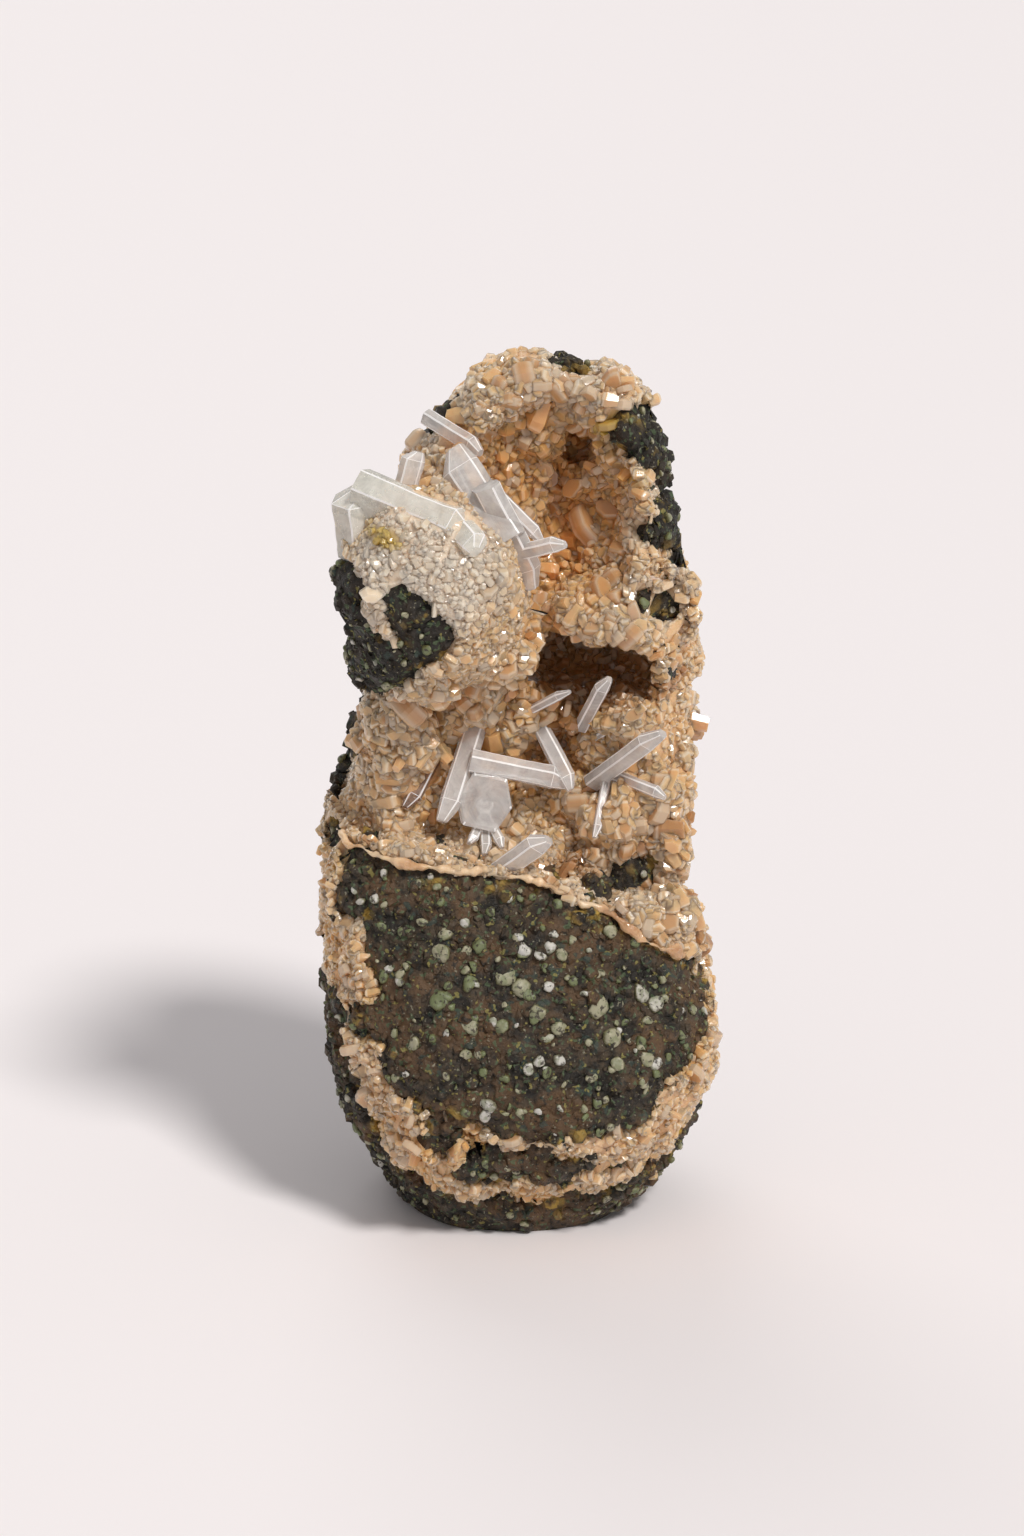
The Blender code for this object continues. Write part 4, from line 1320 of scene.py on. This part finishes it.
@dataclass(frozen=True)
class Growth:
    """How one kind of crystal grows on the crust: template, spacing, sizes, depth, tilt and where."""

    name: str
    template: Template
    spacing: float
    size_low: Triple
    size_high: Triple
    sunk: float
    tilt: float
    seed: int
    least_cover: float = 0.0
    small: bool = True
    room: float = 0.4

    def coarseness(self, lump: Lump, points: Array, pale: Array, random: np.random.Generator) -> Array:
        """Share of the usual size: it varies by chance, and is less on pale, thin, low and side crusts.

        Args:
            lump: The lump.
            points: Where the crystals stand.
            pale: How pale the crust is there.
            random: The source of random numbers.

        Returns:
            One share for each crystal.
        """
        coarse = (1.0 + 0.30 * noise(points, 7.0, 41)) * (1.0 - 0.25 * pale)
        coarse *= 0.7 + 0.3 * ease(lump.cover(points) / 1.5)
        coarse *= 0.75 + 0.25 * ease((points[:, 2] - lump.ridge_height(points)) / 2.0 + 1.0)
        chance = np.exp(random.normal(0.0, 0.22, len(points))).clip(0.6, 1.7)
        return coarse * (chance * (1.0 - 0.25 * lump.side(points)))

    def build(
        self, lump: Lump, points: Array, out: Array, tones: Tones, part: str, finish: bpy.types.Material
    ) -> None:
        """Copies the template to every place, turned, stretched and sunk by chance.

        Args:
            lump: The lump.
            points: Where the crystals stand.
            out: The crust's unit normals there.
            tones: The values for their finish.
            part: Which part of the specimen they are on.
            finish: Their material.
        """
        random = np.random.default_rng(self.seed + len(points))
        axes = axes_about(out, self.tilt, random)
        values = tones.at(points)
        # Large crystals stand out of the hollows, so they get less of the hollow tone and of the painted
        # shade.
        for tone in ("depth", "shade"):
            values[tone] *= 1.0 if self.small else 0.6
        coarse = self.coarseness(lump, points, values["pale"], random)
        sizes = random.uniform(self.size_low, self.size_high, (len(points), 3)) * coarse[:, None]
        places = points - axes[:, 0] * (self.sunk * sizes[:, :1])
        values["tint"] = random.random(len(points))
        parts = copies(self.template, places, axes, sizes, values)
        obj = parts.object(f"{self.name}_{part}", finish, Slot.HEULANDITE, False)
        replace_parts(obj, "heulandite_crust")


@dataclass(frozen=True)
class RidgeRim:
    """The wavy cream rim of crust along the broken top of the foot's face."""

    left: float = -22.6
    right: float = 20.5
    rings: int = 300
    around: int = 14
    radius: float = 0.5
    below: float = 1.0
    swell: Waves = ((0.7, 4.2, 71), (0.35, 1.7, 72))
    rough: Waves = ((0.30, 1.3, 74), (0.25, 0.7, 75))
    least_pale: float = 0.35
    front: float = -30.0
    march: float = 0.1
    marches: int = 300

    def path(self, lump: Lump) -> Array:
        """Points along the ridge, each found by marching back from the front until the lump begins.

        Args:
            lump: The lump.

        Returns:
            Points, one per row.
        """
        x = np.linspace(self.left, self.right, self.rings)
        path = np.stack([x, np.full(self.rings, self.front), np.zeros(self.rings)], axis=1)
        for _ in range(self.marches):
            path[:, 2] = lump.ridge_height(path) - self.below
            path[:, 1] += self.march * (lump.lump(path) > 2 * self.march)
        smooth = np.array([1, 4, 6, 4, 1]) / 16
        padded = np.pad(path, ((2, 2), (0, 0)), mode="edge")
        return np.stack([np.convolve(padded[:, axis], smooth, "valid") for axis in range(3)], axis=1)

    def build(self, lump: Lump, tones: Tones, finish: bpy.types.Material) -> None:
        """Carries a circle along the ridge: path + radius (X cos + Y sin), with waves from noise.

        Args:
            lump: The lump.
            tones: The values for the finish.
            finish: The rim's material.
        """
        path = self.path(lump)
        along = unit(np.gradient(path, axis=0))
        across = unit(np.cross(along, (0.0, -1.0, 0.0)))
        turn = np.arange(self.around) / self.around * 2 * np.pi
        ends = np.minimum(np.arange(self.rings), np.arange(self.rings)[::-1]) / 6.0
        size = self.radius * waved(1.0, path, self.swell)
        size *= np.sqrt(np.clip(ends, 0.02, 1.0))
        cos, sin = np.cos(turn)[None, :, None], np.sin(turn)[None, :, None]
        ring = across[:, None] * cos + np.cross(across, along)[:, None] * sin
        wander = 0.5 * noise(path, 2.2, 73)[:, None, None] * across[:, None]
        points = path[:, None] + wander + size[:, None, None] * ring
        rough = waved(0.0, points.reshape(-1, 3), self.rough)
        points = points + rough.reshape(self.rings, self.around, 1) * ring
        parts = skin_mesh(points, CRUST_FLOOR)
        tones.dress(parts, 75)
        parts.values["pale"] = np.maximum(parts.values["pale"], self.least_pale)
        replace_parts(parts.object("ridge_rim", finish, Slot.HEULANDITE, True), "heulandite_crust")


@dataclass(frozen=True)
class Heulandite:
    """The crust: its own clumped surface, and all the crystals that stand on it."""

    grains: Growth = Growth("grains", prism(), 1.1, (1.3, 1.1, 0.9), (2.5, 2.3, 1.9), 0.28, 0.5, 51)
    sugar: Growth = Growth("sugar", prism(), 0.8, (1.0, 0.7, 0.6), (1.6, 1.3, 1.1), 0.22, 0.5, 54, room=-0.5)
    tablets: Growth = Growth(
        "tablets", tablet(), 2.0, (1.8, 1.6, 0.7), (3.0, 2.6, 1.3), 0.20, 0.55, 52,
        least_cover=0.7, small=False,
    )
    large: Growth = Growth(
        "large", large_tablet(), 3.6, (3.0, 2.4, 1.3), (4.2, 3.4, 2.1), 0.22, 0.5, 53,
        least_cover=1.8, small=False,
    )
    single: tuple[tuple[float, ...], ...] = (
        # across, height, length, width, thickness and turn in degrees
        (7.6, 85.6, 5.4, 3.4, 2.4, -68.0),
        (2.8, 79.8, 2.7, 1.8, 1.4, 15.0),
        (10.4, 104.2, 3.6, 2.8, 1.8, 75.0),
        (13.6, 101.0, 3.6, 3.0, 1.8, 30.0),
        (11.0, 100.4, 4.4, 3.0, 2.0, -60.0),
        (7.6, 98.4, 3.4, 2.6, 1.8, 60.0),
        (5.2, 104.0, 3.0, 2.6, 1.6, 80.0),
        (6.4, 90.2, 3.2, 2.4, 1.8, 40.0),
        (10.6, 87.6, 3.4, 2.4, 1.8, -30.0),
        (-12.6, 96.0, 3.0, 2.6, 2.0, 60.0),
        (9.8, 79.6, 4.0, 2.8, 2.0, -80.0),
        (13.0, 77.2, 3.6, 2.4, 1.8, 85.0),
        (2.0, 77.4, 3.0, 2.4, 2.0, 70.0),
        (3.4, 77.2, 2.8, 2.2, 2.0, 20.0),
    )
    single_seed: int = 55
    # Share of the hollow tone and of the painted shade that the single crystals get.
    single_tone: float = 0.4
    most_side: float = 0.3
    facing_front: float = 0.45

    def surface(self, lump: Lump, grid: Array) -> Array:
        """Returns the crust's own surface: its outside, settled from the lump's grid, with its clumps."""
        grid = within(settle(lump.crust_outside, grid, 5, 0.05), grid)
        points = grid.reshape(-1, 3)
        normals = normals_of(lump.crust_outside, points)
        return (points + normals * lump.rise(points)[:, None]).reshape(grid.shape)

    def build(self, lump: Lump, grid: Array, tones: Tones, calcite: "Calcite") -> None:
        """Makes the crust's own surface, and grows the crystals on it, clear of the calcite.

        Args:
            lump: The lump.
            grid: The crust's own surface.
            tones: The values for the finish.
            calcite: The blades that the crystals leave free.
        """
        parts = skin_mesh(grid, CRUST_FLOOR)
        tones.dress(parts, 33)
        skin = HeulanditeFinish("heulandite_crust").material()
        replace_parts(parts.object("crust", skin, Slot.HEULANDITE, True), "heulandite_crust")
        RidgeRim().build(lump, tones, skin)
        finish = HeulanditeFinish("heulandite", clear=0.08, rough=(0.10, 0.26), relief=0.12).material()
        glassy = HeulanditeFinish(
            "heulandite_clear", scatter=0.6, clear=0.35, rough=(0.06, 0.2), relief=0.05
        ).material()
        for kind in (self.grains, self.sugar, self.tablets, self.large):
            self.grow(kind, lump, grid, tones, calcite, finish if kind.small else glassy)
        self.named(grid, tones, glassy)

    def named(self, grid: Array, tones: Tones, finish: bpy.types.Material) -> None:
        """Sets the single large crystals, each with its flat face to the front.

        Args:
            grid: The crust's own surface.
            tones: The values for the finish.
            finish: Their material.
        """
        random = np.random.default_rng(self.single_seed)
        rows = np.array(self.single)
        points = front_points(grid, rows[:, :2])
        turn = np.radians(rows[:, 5])
        long = np.stack([np.cos(turn), np.full(len(rows), -0.25), np.sin(turn)], axis=1)
        long = unit(long + random.normal(0.0, 0.15, long.shape))
        wide = unit(np.cross(long, (0.0, -1.0, 0.3) + random.normal(0.0, 0.45, long.shape)))
        axes = np.stack([long, wide, np.cross(long, wide)], axis=1)
        values = tones.at(points)
        # The single crystals stand out of the hollows, so they get less of the hollow tone and of the painted
        # shade.
        for tone in ("depth", "shade"):
            values[tone] *= self.single_tone
        values["tint"] = random.random(len(rows))
        parts = copies(large_tablet(), points - (0.0, 0.3, 0.0), axes, rows[:, 2:5], values)
        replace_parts(parts.object("single_crystals", finish, Slot.HEULANDITE, False), "heulandite_crust")

    def free(self, kind: Growth, lump: Lump, points: Array, calcite: "Calcite") -> Array:
        """Where a kind of crystal may stand: large ones keep off the sides, and sugar to boss and ledge.

        Args:
            kind: The kind of crystal.
            lump: The lump.
            points: Points on the crust.
            calcite: The blades that the crystals leave free.

        Returns:
            True for each free point.
        """
        free = (lump.cover(points) > kind.least_cover) & (points[:, 2] > 1.5)
        free &= ~calcite.covers(points, kind.room)
        above_ridge = points[:, 2] - lump.ridge_height(points)
        boss = lump.boss.distance(points)
        if not kind.small:
            inward = (points[:, 0] < 17.5) | (points[:, 2] < 45.0)
            free &= (lump.side(points) < self.most_side) & inward
        if kind is self.large:
            free &= (lump.hollow_depth(points) < 5.0) & (above_ridge > 5.0) & (boss > 1.5)
        if kind is self.sugar:
            free &= (boss < 1.0) & (points[:, 1] < -6.0) | (np.abs(above_ridge) < 3.0)
        return free

    def grow(
        self,
        kind: Growth,
        lump: Lump,
        grid: Array,
        tones: Tones,
        calcite: "Calcite",
        finish: bpy.types.Material,
    ) -> None:
        """Grows one kind of crystal on the foot, the lower vug and the upper vug.

        Args:
            kind: The kind of crystal.
            lump: The lump.
            grid: The crust's own surface.
            tones: The values for the finish.
            calcite: The blades that the crystals leave free.
            finish: Their material.
        """
        random = np.random.default_rng(kind.seed)
        points = places_on(grid, kind.spacing, random)
        points = points[self.free(kind, lump, points, calcite)]
        out = normals_of(lump.druse, points)
        if not kind.small:
            facing = out[:, 1] < -self.facing_front
            points, out = points[facing], out[facing]
        foot = points[:, 2] - lump.ridge_height(points) < -1.0
        low = points[:, 2] < lump.between_vugs
        parts = {"foot": foot, "lower_vug": ~foot & low, "upper_vug": ~foot & ~low}
        for part, here in parts.items():
            if here.any():
                kind.build(lump, points[here], out[here], tones, part, finish)


@dataclass(frozen=True)
class Blade:
    """One calcite blade: where it is rooted, its reach, width, thickness and turn in degrees."""

    root: Triple
    reach: Triple
    width: float
    thickness: float
    turn: float
    rooted: float = 1.8
    tip_share: float = 0.22
    tip_size: float = 0.45
    bevel: float = 0.14

    def outline(self) -> Array:
        """The flattened hexagon, with each corner cut by a narrow bevel.

        Returns:
            Pairs across and through the blade, from -1 to 1.
        """
        hexagon = np.array([(1, 0), (0.6, 1), (-0.6, 1), (-1, 0), (-0.6, -1), (0.6, -1)], dtype=float)
        size = np.array((self.width, self.thickness)) / 2
        before = np.roll(hexagon, 1, axis=0) - hexagon
        after = np.roll(hexagon, -1, axis=0) - hexagon
        cut = [self.bevel / np.linalg.norm(way * size, axis=1)[:, None] * way for way in (before, after)]
        return np.stack([hexagon + cut[0], hexagon + cut[1]], axis=1).reshape(-1, 2)

    def frame(self) -> tuple[Array, Array, Array]:
        """Returns the unit vectors along, across and through the blade."""
        along = np.array(self.reach) / np.linalg.norm(self.reach)
        aside = np.cross(along, (0.0, -1.0, 0.15))
        aside /= np.linalg.norm(aside)
        turn = math.radians(self.turn)
        aside = math.cos(turn) * aside + math.sin(turn) * np.cross(along, aside)
        return along, aside, np.cross(along, aside)

    def covers(self, points: Array, room: float) -> Array:
        """Returns which points lie within the blade, widened by some room, beyond its root."""
        along, aside, across = self.frame()
        off = points - np.array(self.root)
        height = off @ along
        length = float(np.linalg.norm(self.reach))
        inside = (height > 0.4) & (height < length + 0.4 * room)
        inside &= np.abs(off @ aside) < self.width / 2 + room
        return inside & (np.abs(off @ across) < self.thickness / 2 + room)

    def rings(self, random: np.random.Generator) -> Array:
        """Distance along, width, thickness and lean of each ring: straight, then drawn in to the tip.

        Args:
            random: The source of random numbers.

        Returns:
            One row for each ring.
        """
        length = float(np.linalg.norm(self.reach))
        shoulder = length * (1 - self.tip_share)
        body = np.linspace(-self.rooted, shoulder, 9)
        swell = 1.0 + 0.05 * random.normal(0.0, 1.0, (9, 2)).cumsum(axis=0) / 3
        swell[-1] = 1.0
        rows = [(h, w, t, 0.0) for h, (w, t) in zip(body, swell)]
        bevel = min(self.bevel, 0.2 * (length - shoulder))
        tip, lean = self.tip_size, 0.55 * (1 - self.tip_size)
        rows.append((shoulder + 0.5 * bevel, 0.985, 0.985, 0.01))
        rows.append((length - bevel, tip + 0.04, 0.15 + tip, lean * 0.93))
        rows.append((length, tip - 0.04, 0.02 + tip, lean))
        return np.array(rows)

    def parts(self, seed: int) -> MeshParts:
        """Carries the outline along the blade: root + along h + across w (X + lean) + through t Y.

        Args:
            seed: Which chance irregularities the blade has.

        Returns:
            The blade's closed mesh.
        """
        random = np.random.default_rng(seed)
        along, aside, across = self.frame()
        outline, rings = self.outline(), self.rings(random)
        h, wide, thick, lean = rings.T[:, :, None]
        points = (
            np.array(self.root)
            + along * h[..., None]
            + aside * (self.width / 2 * (outline[:, 0] * wide + lean))[..., None]
            + across * (self.thickness / 2 * outline[:, 1] * thick)[..., None]
        )
        count, around = points.shape[:2]
        quads = quads_of(count, around)
        caps = [np.arange(around)[::-1], (count - 1) * around + np.arange(around)]
        corners = np.concatenate([quads.ravel(), *caps])
        sides = np.concatenate([np.full(quads.size // 4, 4), [around, around]])
        u = np.broadcast_to(outline[:, 0] * self.width / 2, (count, around))
        v = np.broadcast_to(h, (count, around))
        values = {"u": u.ravel(), "v": v.ravel()}
        # The narrow bevel faces and the bevel band at the shoulder carry rim, for a painted highlight.
        narrow = np.zeros((count - 1, around))
        narrow[:, ::2] = 1.0
        narrow[-3] = 1.0
        rim = {"rim": np.append(narrow.ravel(), (0.0, 0.0))}
        return MeshParts(points.reshape(-1, 3), corners, starts_of(sides), values, rim)


def stack(parts: list[MeshParts]) -> MeshParts:
    """Puts several meshes into one.

    Args:
        parts: The meshes, which carry the same values.

    Returns:
        One mesh.
    """
    point_at = np.cumsum([0] + [len(part.points) for part in parts])
    corner_at = np.cumsum([0] + [len(part.corners) for part in parts])
    return MeshParts(
        np.concatenate([part.points for part in parts]),
        np.concatenate([part.corners + at for part, at in zip(parts, point_at)]),
        np.concatenate([part.starts + at for part, at in zip(parts, corner_at)]),
        {key: np.concatenate([part.values[key] for part in parts]) for key in parts[0].values},
        {key: np.concatenate([part.face_values[key] for part in parts]) for key in parts[0].face_values},
    )


def map_blade(obj: bpy.types.Object) -> None:
    """Turns the values u and v into the map that the growth lines follow.

    Args:
        obj: The calcite piece.
    """
    mesh = obj.data
    corner = np.empty(len(mesh.loops), dtype=np.int32)
    mesh.loops.foreach_get("vertex_index", corner)
    values = []
    for key in ("u", "v"):
        value = np.empty(len(mesh.vertices), dtype=np.float32)
        mesh.attributes[key].data.foreach_get("value", value)
        values.append(value[corner])
    mesh.uv_layers.new(name="blade").data.foreach_set("uv", np.stack(values, axis=1).ravel())
    for key in ("u", "v"):
        mesh.attributes.remove(mesh.attributes[key])


@dataclass(frozen=True)
class Calcite:
    """The calcite pieces, each the blades that grew together in one node."""

    spray: tuple[Blade, ...] = (
        Blade((-2.5, -12.0, 88.8), (-6.0, 4.0, 8.4), 5.0, 2.6, 10.0),
        Blade((-5.8, -10.4, 91.6), (-2.4, 2.0, 4.2), 2.2, 1.6, -15.0),
        Blade((-3.4, -11.9, 92.4), (5.2, 2.2, -11.2), 3.7, 2.0, 20.0),
        Blade((-2.8, -10.8, 92.6), (5.4, 0.6, -5.6), 1.9, 1.4, -20.0),
        Blade((-0.4, -10.7, 85.6), (5.4, -3.0, 2.1), 2.2, 1.6, 15.0),
    )
    finger: tuple[Blade, ...] = (Blade((-9.9, -1.8, 99.1), (5.2, -4.6, -2.2), 2.3, 1.9, 20.0),)
    tile: tuple[Blade, ...] = (Blade((-13.7, -7.6, 92.4), (1.3, 0.6, 4.6), 3.0, 2.0, 10.0),)
    blocks: tuple[Blade, ...] = (
        Blade((-18.7, -7.6, 86.6), (-0.6, -0.6, 6.2), 6.6, 6.4, 15.0),
        Blade((-17.4, -9.6, 92.0), (12.2, -5.6, -3.8), 6.8, 4.6, 36.0),
        Blade((-6.9, -14.5, 89.2), (1.9, -3.1, -1.3), 3.5, 2.7, 0.0),
    )
    cluster: tuple[Blade, ...] = (
        Blade((-5.5, -2.6, 61.8), (-3.7, -6.4, -10.2), 3.1, 2.1, 15.0),
        Blade((-4.4, -6.2, 58.2), (10.4, 0.6, -2.4), 3.2, 2.2, 10.0),
        Blade((2.9, -3.2, 60.8), (3.4, -3.7, -5.6), 2.2, 1.7, 0.0),
        Blade((-4.7, -3.6, 52.4), (0.2, -4.6, 1.6), 7.0, 6.2, 0.0, tip_size=0.92),
        Blade((-4.5, -6.0, 51.6), (-1.6, -4.0, -2.4), 1.4, 1.2, 0.0),
        Blade((-4.4, -6.0, 51.4), (0.2, -4.4, -3.4), 1.5, 1.3, 0.0),
        Blade((-4.3, -6.0, 51.6), (2.2, -4.0, -2.8), 1.4, 1.2, 0.0),
    )
    smoky_blade: tuple[Blade, ...] = (Blade((-10.2, -2.0, 58.6), (-3.6, -4.6, -6.0), 2.2, 1.6, 0.0),)
    wedge: tuple[Blade, ...] = (Blade((-1.7, -12.0, 47.1), (4.6, -3.0, 4.6), 3.3, 2.1, 25.0),)
    rod: tuple[Blade, ...] = (Blade((0.2, -2.3, 63.2), (5.5, -5.2, 4.6), 1.3, 1.1, 0.0),)
    needle: tuple[Blade, ...] = (Blade((7.8, -4.6, 63.4), (2.4, -4.5, 6.4), 2.0, 1.6, 10.0),)
    fan: tuple[Blade, ...] = (
        Blade((9.7, -5.0, 56.2), (6.8, -7.0, 7.8), 2.8, 1.9, 20.0),
        Blade((12.2, -5.8, 56.2), (5.2, -3.4, -1.1), 1.7, 1.4, 0.0),
        Blade((10.3, -5.6, 55.4), (-1.3, -4.4, -5.4), 1.3, 1.1, 0.0),
    )
    small: tuple[Blade, ...] = (
        # These stand where a ray from the front meets the crust, so only their place across and height count.
        Blade((-3.2, 0.0, 66.0), (-0.6, -2.4, 5.2), 1.9, 1.3, 0.0),
        Blade((3.0, 0.0, 65.2), (-4.4, -2.6, 2.8), 2.4, 1.7, 0.0),
        Blade((9.3, 0.0, 60.5), (1.6, -1.8, 1.8), 1.0, 0.8, 0.0),
        Blade((13.5, 0.0, 60.8), (-0.4, -2.0, 2.2), 1.2, 0.9, 0.0),
    )

    def pieces(self) -> dict[str, tuple[Blade, ...]]:
        """Returns the blades of each piece by its name."""
        names = ("spray", "finger", "tile", "blocks", "cluster", "smoky_blade", "wedge", "rod", "needle",
                 "fan")
        return {name: getattr(self, name) for name in names}

    def covers(self, points: Array, room: float) -> Array:
        """Returns which points lie in or close to any blade."""
        blades = [blade for blades in self.pieces().values() for blade in blades]
        return np.any([blade.covers(points, room) for blade in blades], axis=0)

    def build(self, grid: Array) -> None:
        """Makes each piece from its blades, in place of its solid, and the small blades on the crust.

        Args:
            grid: The crust's own surface.
        """
        clear = CalciteFinish("calcite").material()
        finishes = {
            "smoky_blade": CalciteFinish("calcite_smoky", tint=(0.62, 0.52, 0.46), clear=0.9).material(),
            "blocks": CalciteFinish("calcite_milky", (0.93, 0.92, 0.84), 0.25, 0.55, (0.12, 0.30)).material(),
        }
        for name, blades in self.pieces().items():
            self.piece(blades, f"{name}_crystal", finishes.get(name, clear), f"calcite_{name}")
        roots = front_points(grid, np.array([blade.root[::2] for blade in self.small]))
        small = tuple(replace(blade, root=tuple(root)) for blade, root in zip(self.small, roots))
        self.piece(small, "small_blades", clear, "heulandite_crust")

    def piece(self, blades: tuple[Blade, ...], name: str, finish: bpy.types.Material, node: str) -> None:
        """Joins some blades into one piece that stands for a node."""
        parts = stack([blade.parts(61 + i) for i, blade in enumerate(blades)])
        obj = parts.object(name, finish, Slot.CALCITE, False)
        map_blade(obj)
        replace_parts(obj, node)


@dataclass(frozen=True)
class Sun:
    """A broad light, with its degrees towards the right, its degrees above the floor and its width."""

    name: str
    azimuth: float
    height: float
    strength: float
    angle: float
    colour: Colour

    def shine(self) -> None:
        """Puts the light into the scene."""
        light = bpy.data.lights.new(self.name, "SUN")
        light.energy, light.angle, light.color = self.strength, math.radians(self.angle), self.colour
        obj = bpy.data.objects.new(self.name, light)
        obj.rotation_euler = (math.radians(90 - self.height), 0.0, math.radians(self.azimuth))
        bpy.context.scene.collection.objects.link(obj)


@dataclass(frozen=True)
class Stage:
    """The floor, the studio light and the camera. Lengths are in metres."""

    suns: tuple[Sun, ...] = (
        Sun("key", 40.0, 52.0, 2.35, 12.0, (1.0, 0.975, 0.95)),
        Sun("rim", 200.0, 40.0, 0.6, 40.0, (1.0, 0.985, 0.97)),
    )
    lens: float = 85.0
    sensor: float = 36.0
    elevation: float = 18.0
    distance: float = 0.445
    target: Triple = (-0.00093, 0.0009, 0.0556)
    floor_reach: float = 6.0
    floor_colour: Colour = (0.86, 0.82, 0.825)
    sky: Colour = (0.86, 0.84, 0.85)
    sky_strength: float = 0.40

    def floor(self) -> None:
        """Lays a plain pale floor."""
        mesh = bpy.data.meshes.new("floor")
        far = self.floor_reach
        mesh.from_pydata([(-far, -far, 0), (far, -far, 0), (far, far, 0), (-far, far, 0)], [], [(0, 1, 2, 3)])
        obj = bpy.data.objects.new("floor", mesh)
        bpy.context.scene.collection.objects.link(obj)
        r = Recipe("floor")
        r.set("Base Color", self.floor_colour)
        r.set("Roughness", 0.7)
        mesh.materials.append(r.material)

    def light(self) -> None:
        """Lights the scene by its suns and an even sky."""
        for sun in self.suns:
            sun.shine()
        world = bpy.data.worlds.new("studio")
        world.use_nodes = True
        background = world.node_tree.nodes["Background"]
        background.inputs["Color"].default_value = (*self.sky, 1.0)
        background.inputs["Strength"].default_value = self.sky_strength
        bpy.context.scene.world = world

    def camera(self) -> None:
        """Sets the camera at the photograph's angle, looking down a little."""
        data = bpy.data.cameras.new("camera")
        data.lens, data.sensor_width = self.lens, self.sensor
        camera = bpy.data.objects.new("camera", data)
        tilt = math.radians(self.elevation)
        x, y, z = self.target
        camera.location = (x, y - self.distance * math.cos(tilt), z + self.distance * math.sin(tilt))
        camera.rotation_euler = (math.radians(90) - tilt, 0.0, 0.0)
        bpy.context.scene.collection.objects.link(camera)
        bpy.context.scene.camera = camera

    def build(self) -> None:
        """Sets up the floor, the light and the camera."""
        self.floor()
        self.light()
        self.camera()
        bpy.context.scene.view_settings.view_transform = "Standard"


def main() -> None:
    """Builds the specimen's pieces in order, and then the stage."""
    logging.basicConfig(level=logging.INFO, format="%(name)s: %(message)s")
    lump = Lump()
    grid = SkinGrid().settled(lump)
    calcite = Calcite()
    heulandite = Heulandite()
    druse = heulandite.surface(lump, grid)
    Basalt().build(lump, grid, druse)
    heulandite.build(lump, druse, Tones(lump), calcite)
    calcite.build(druse)
    Stage().build()


if __name__ == "__main__":
    main()
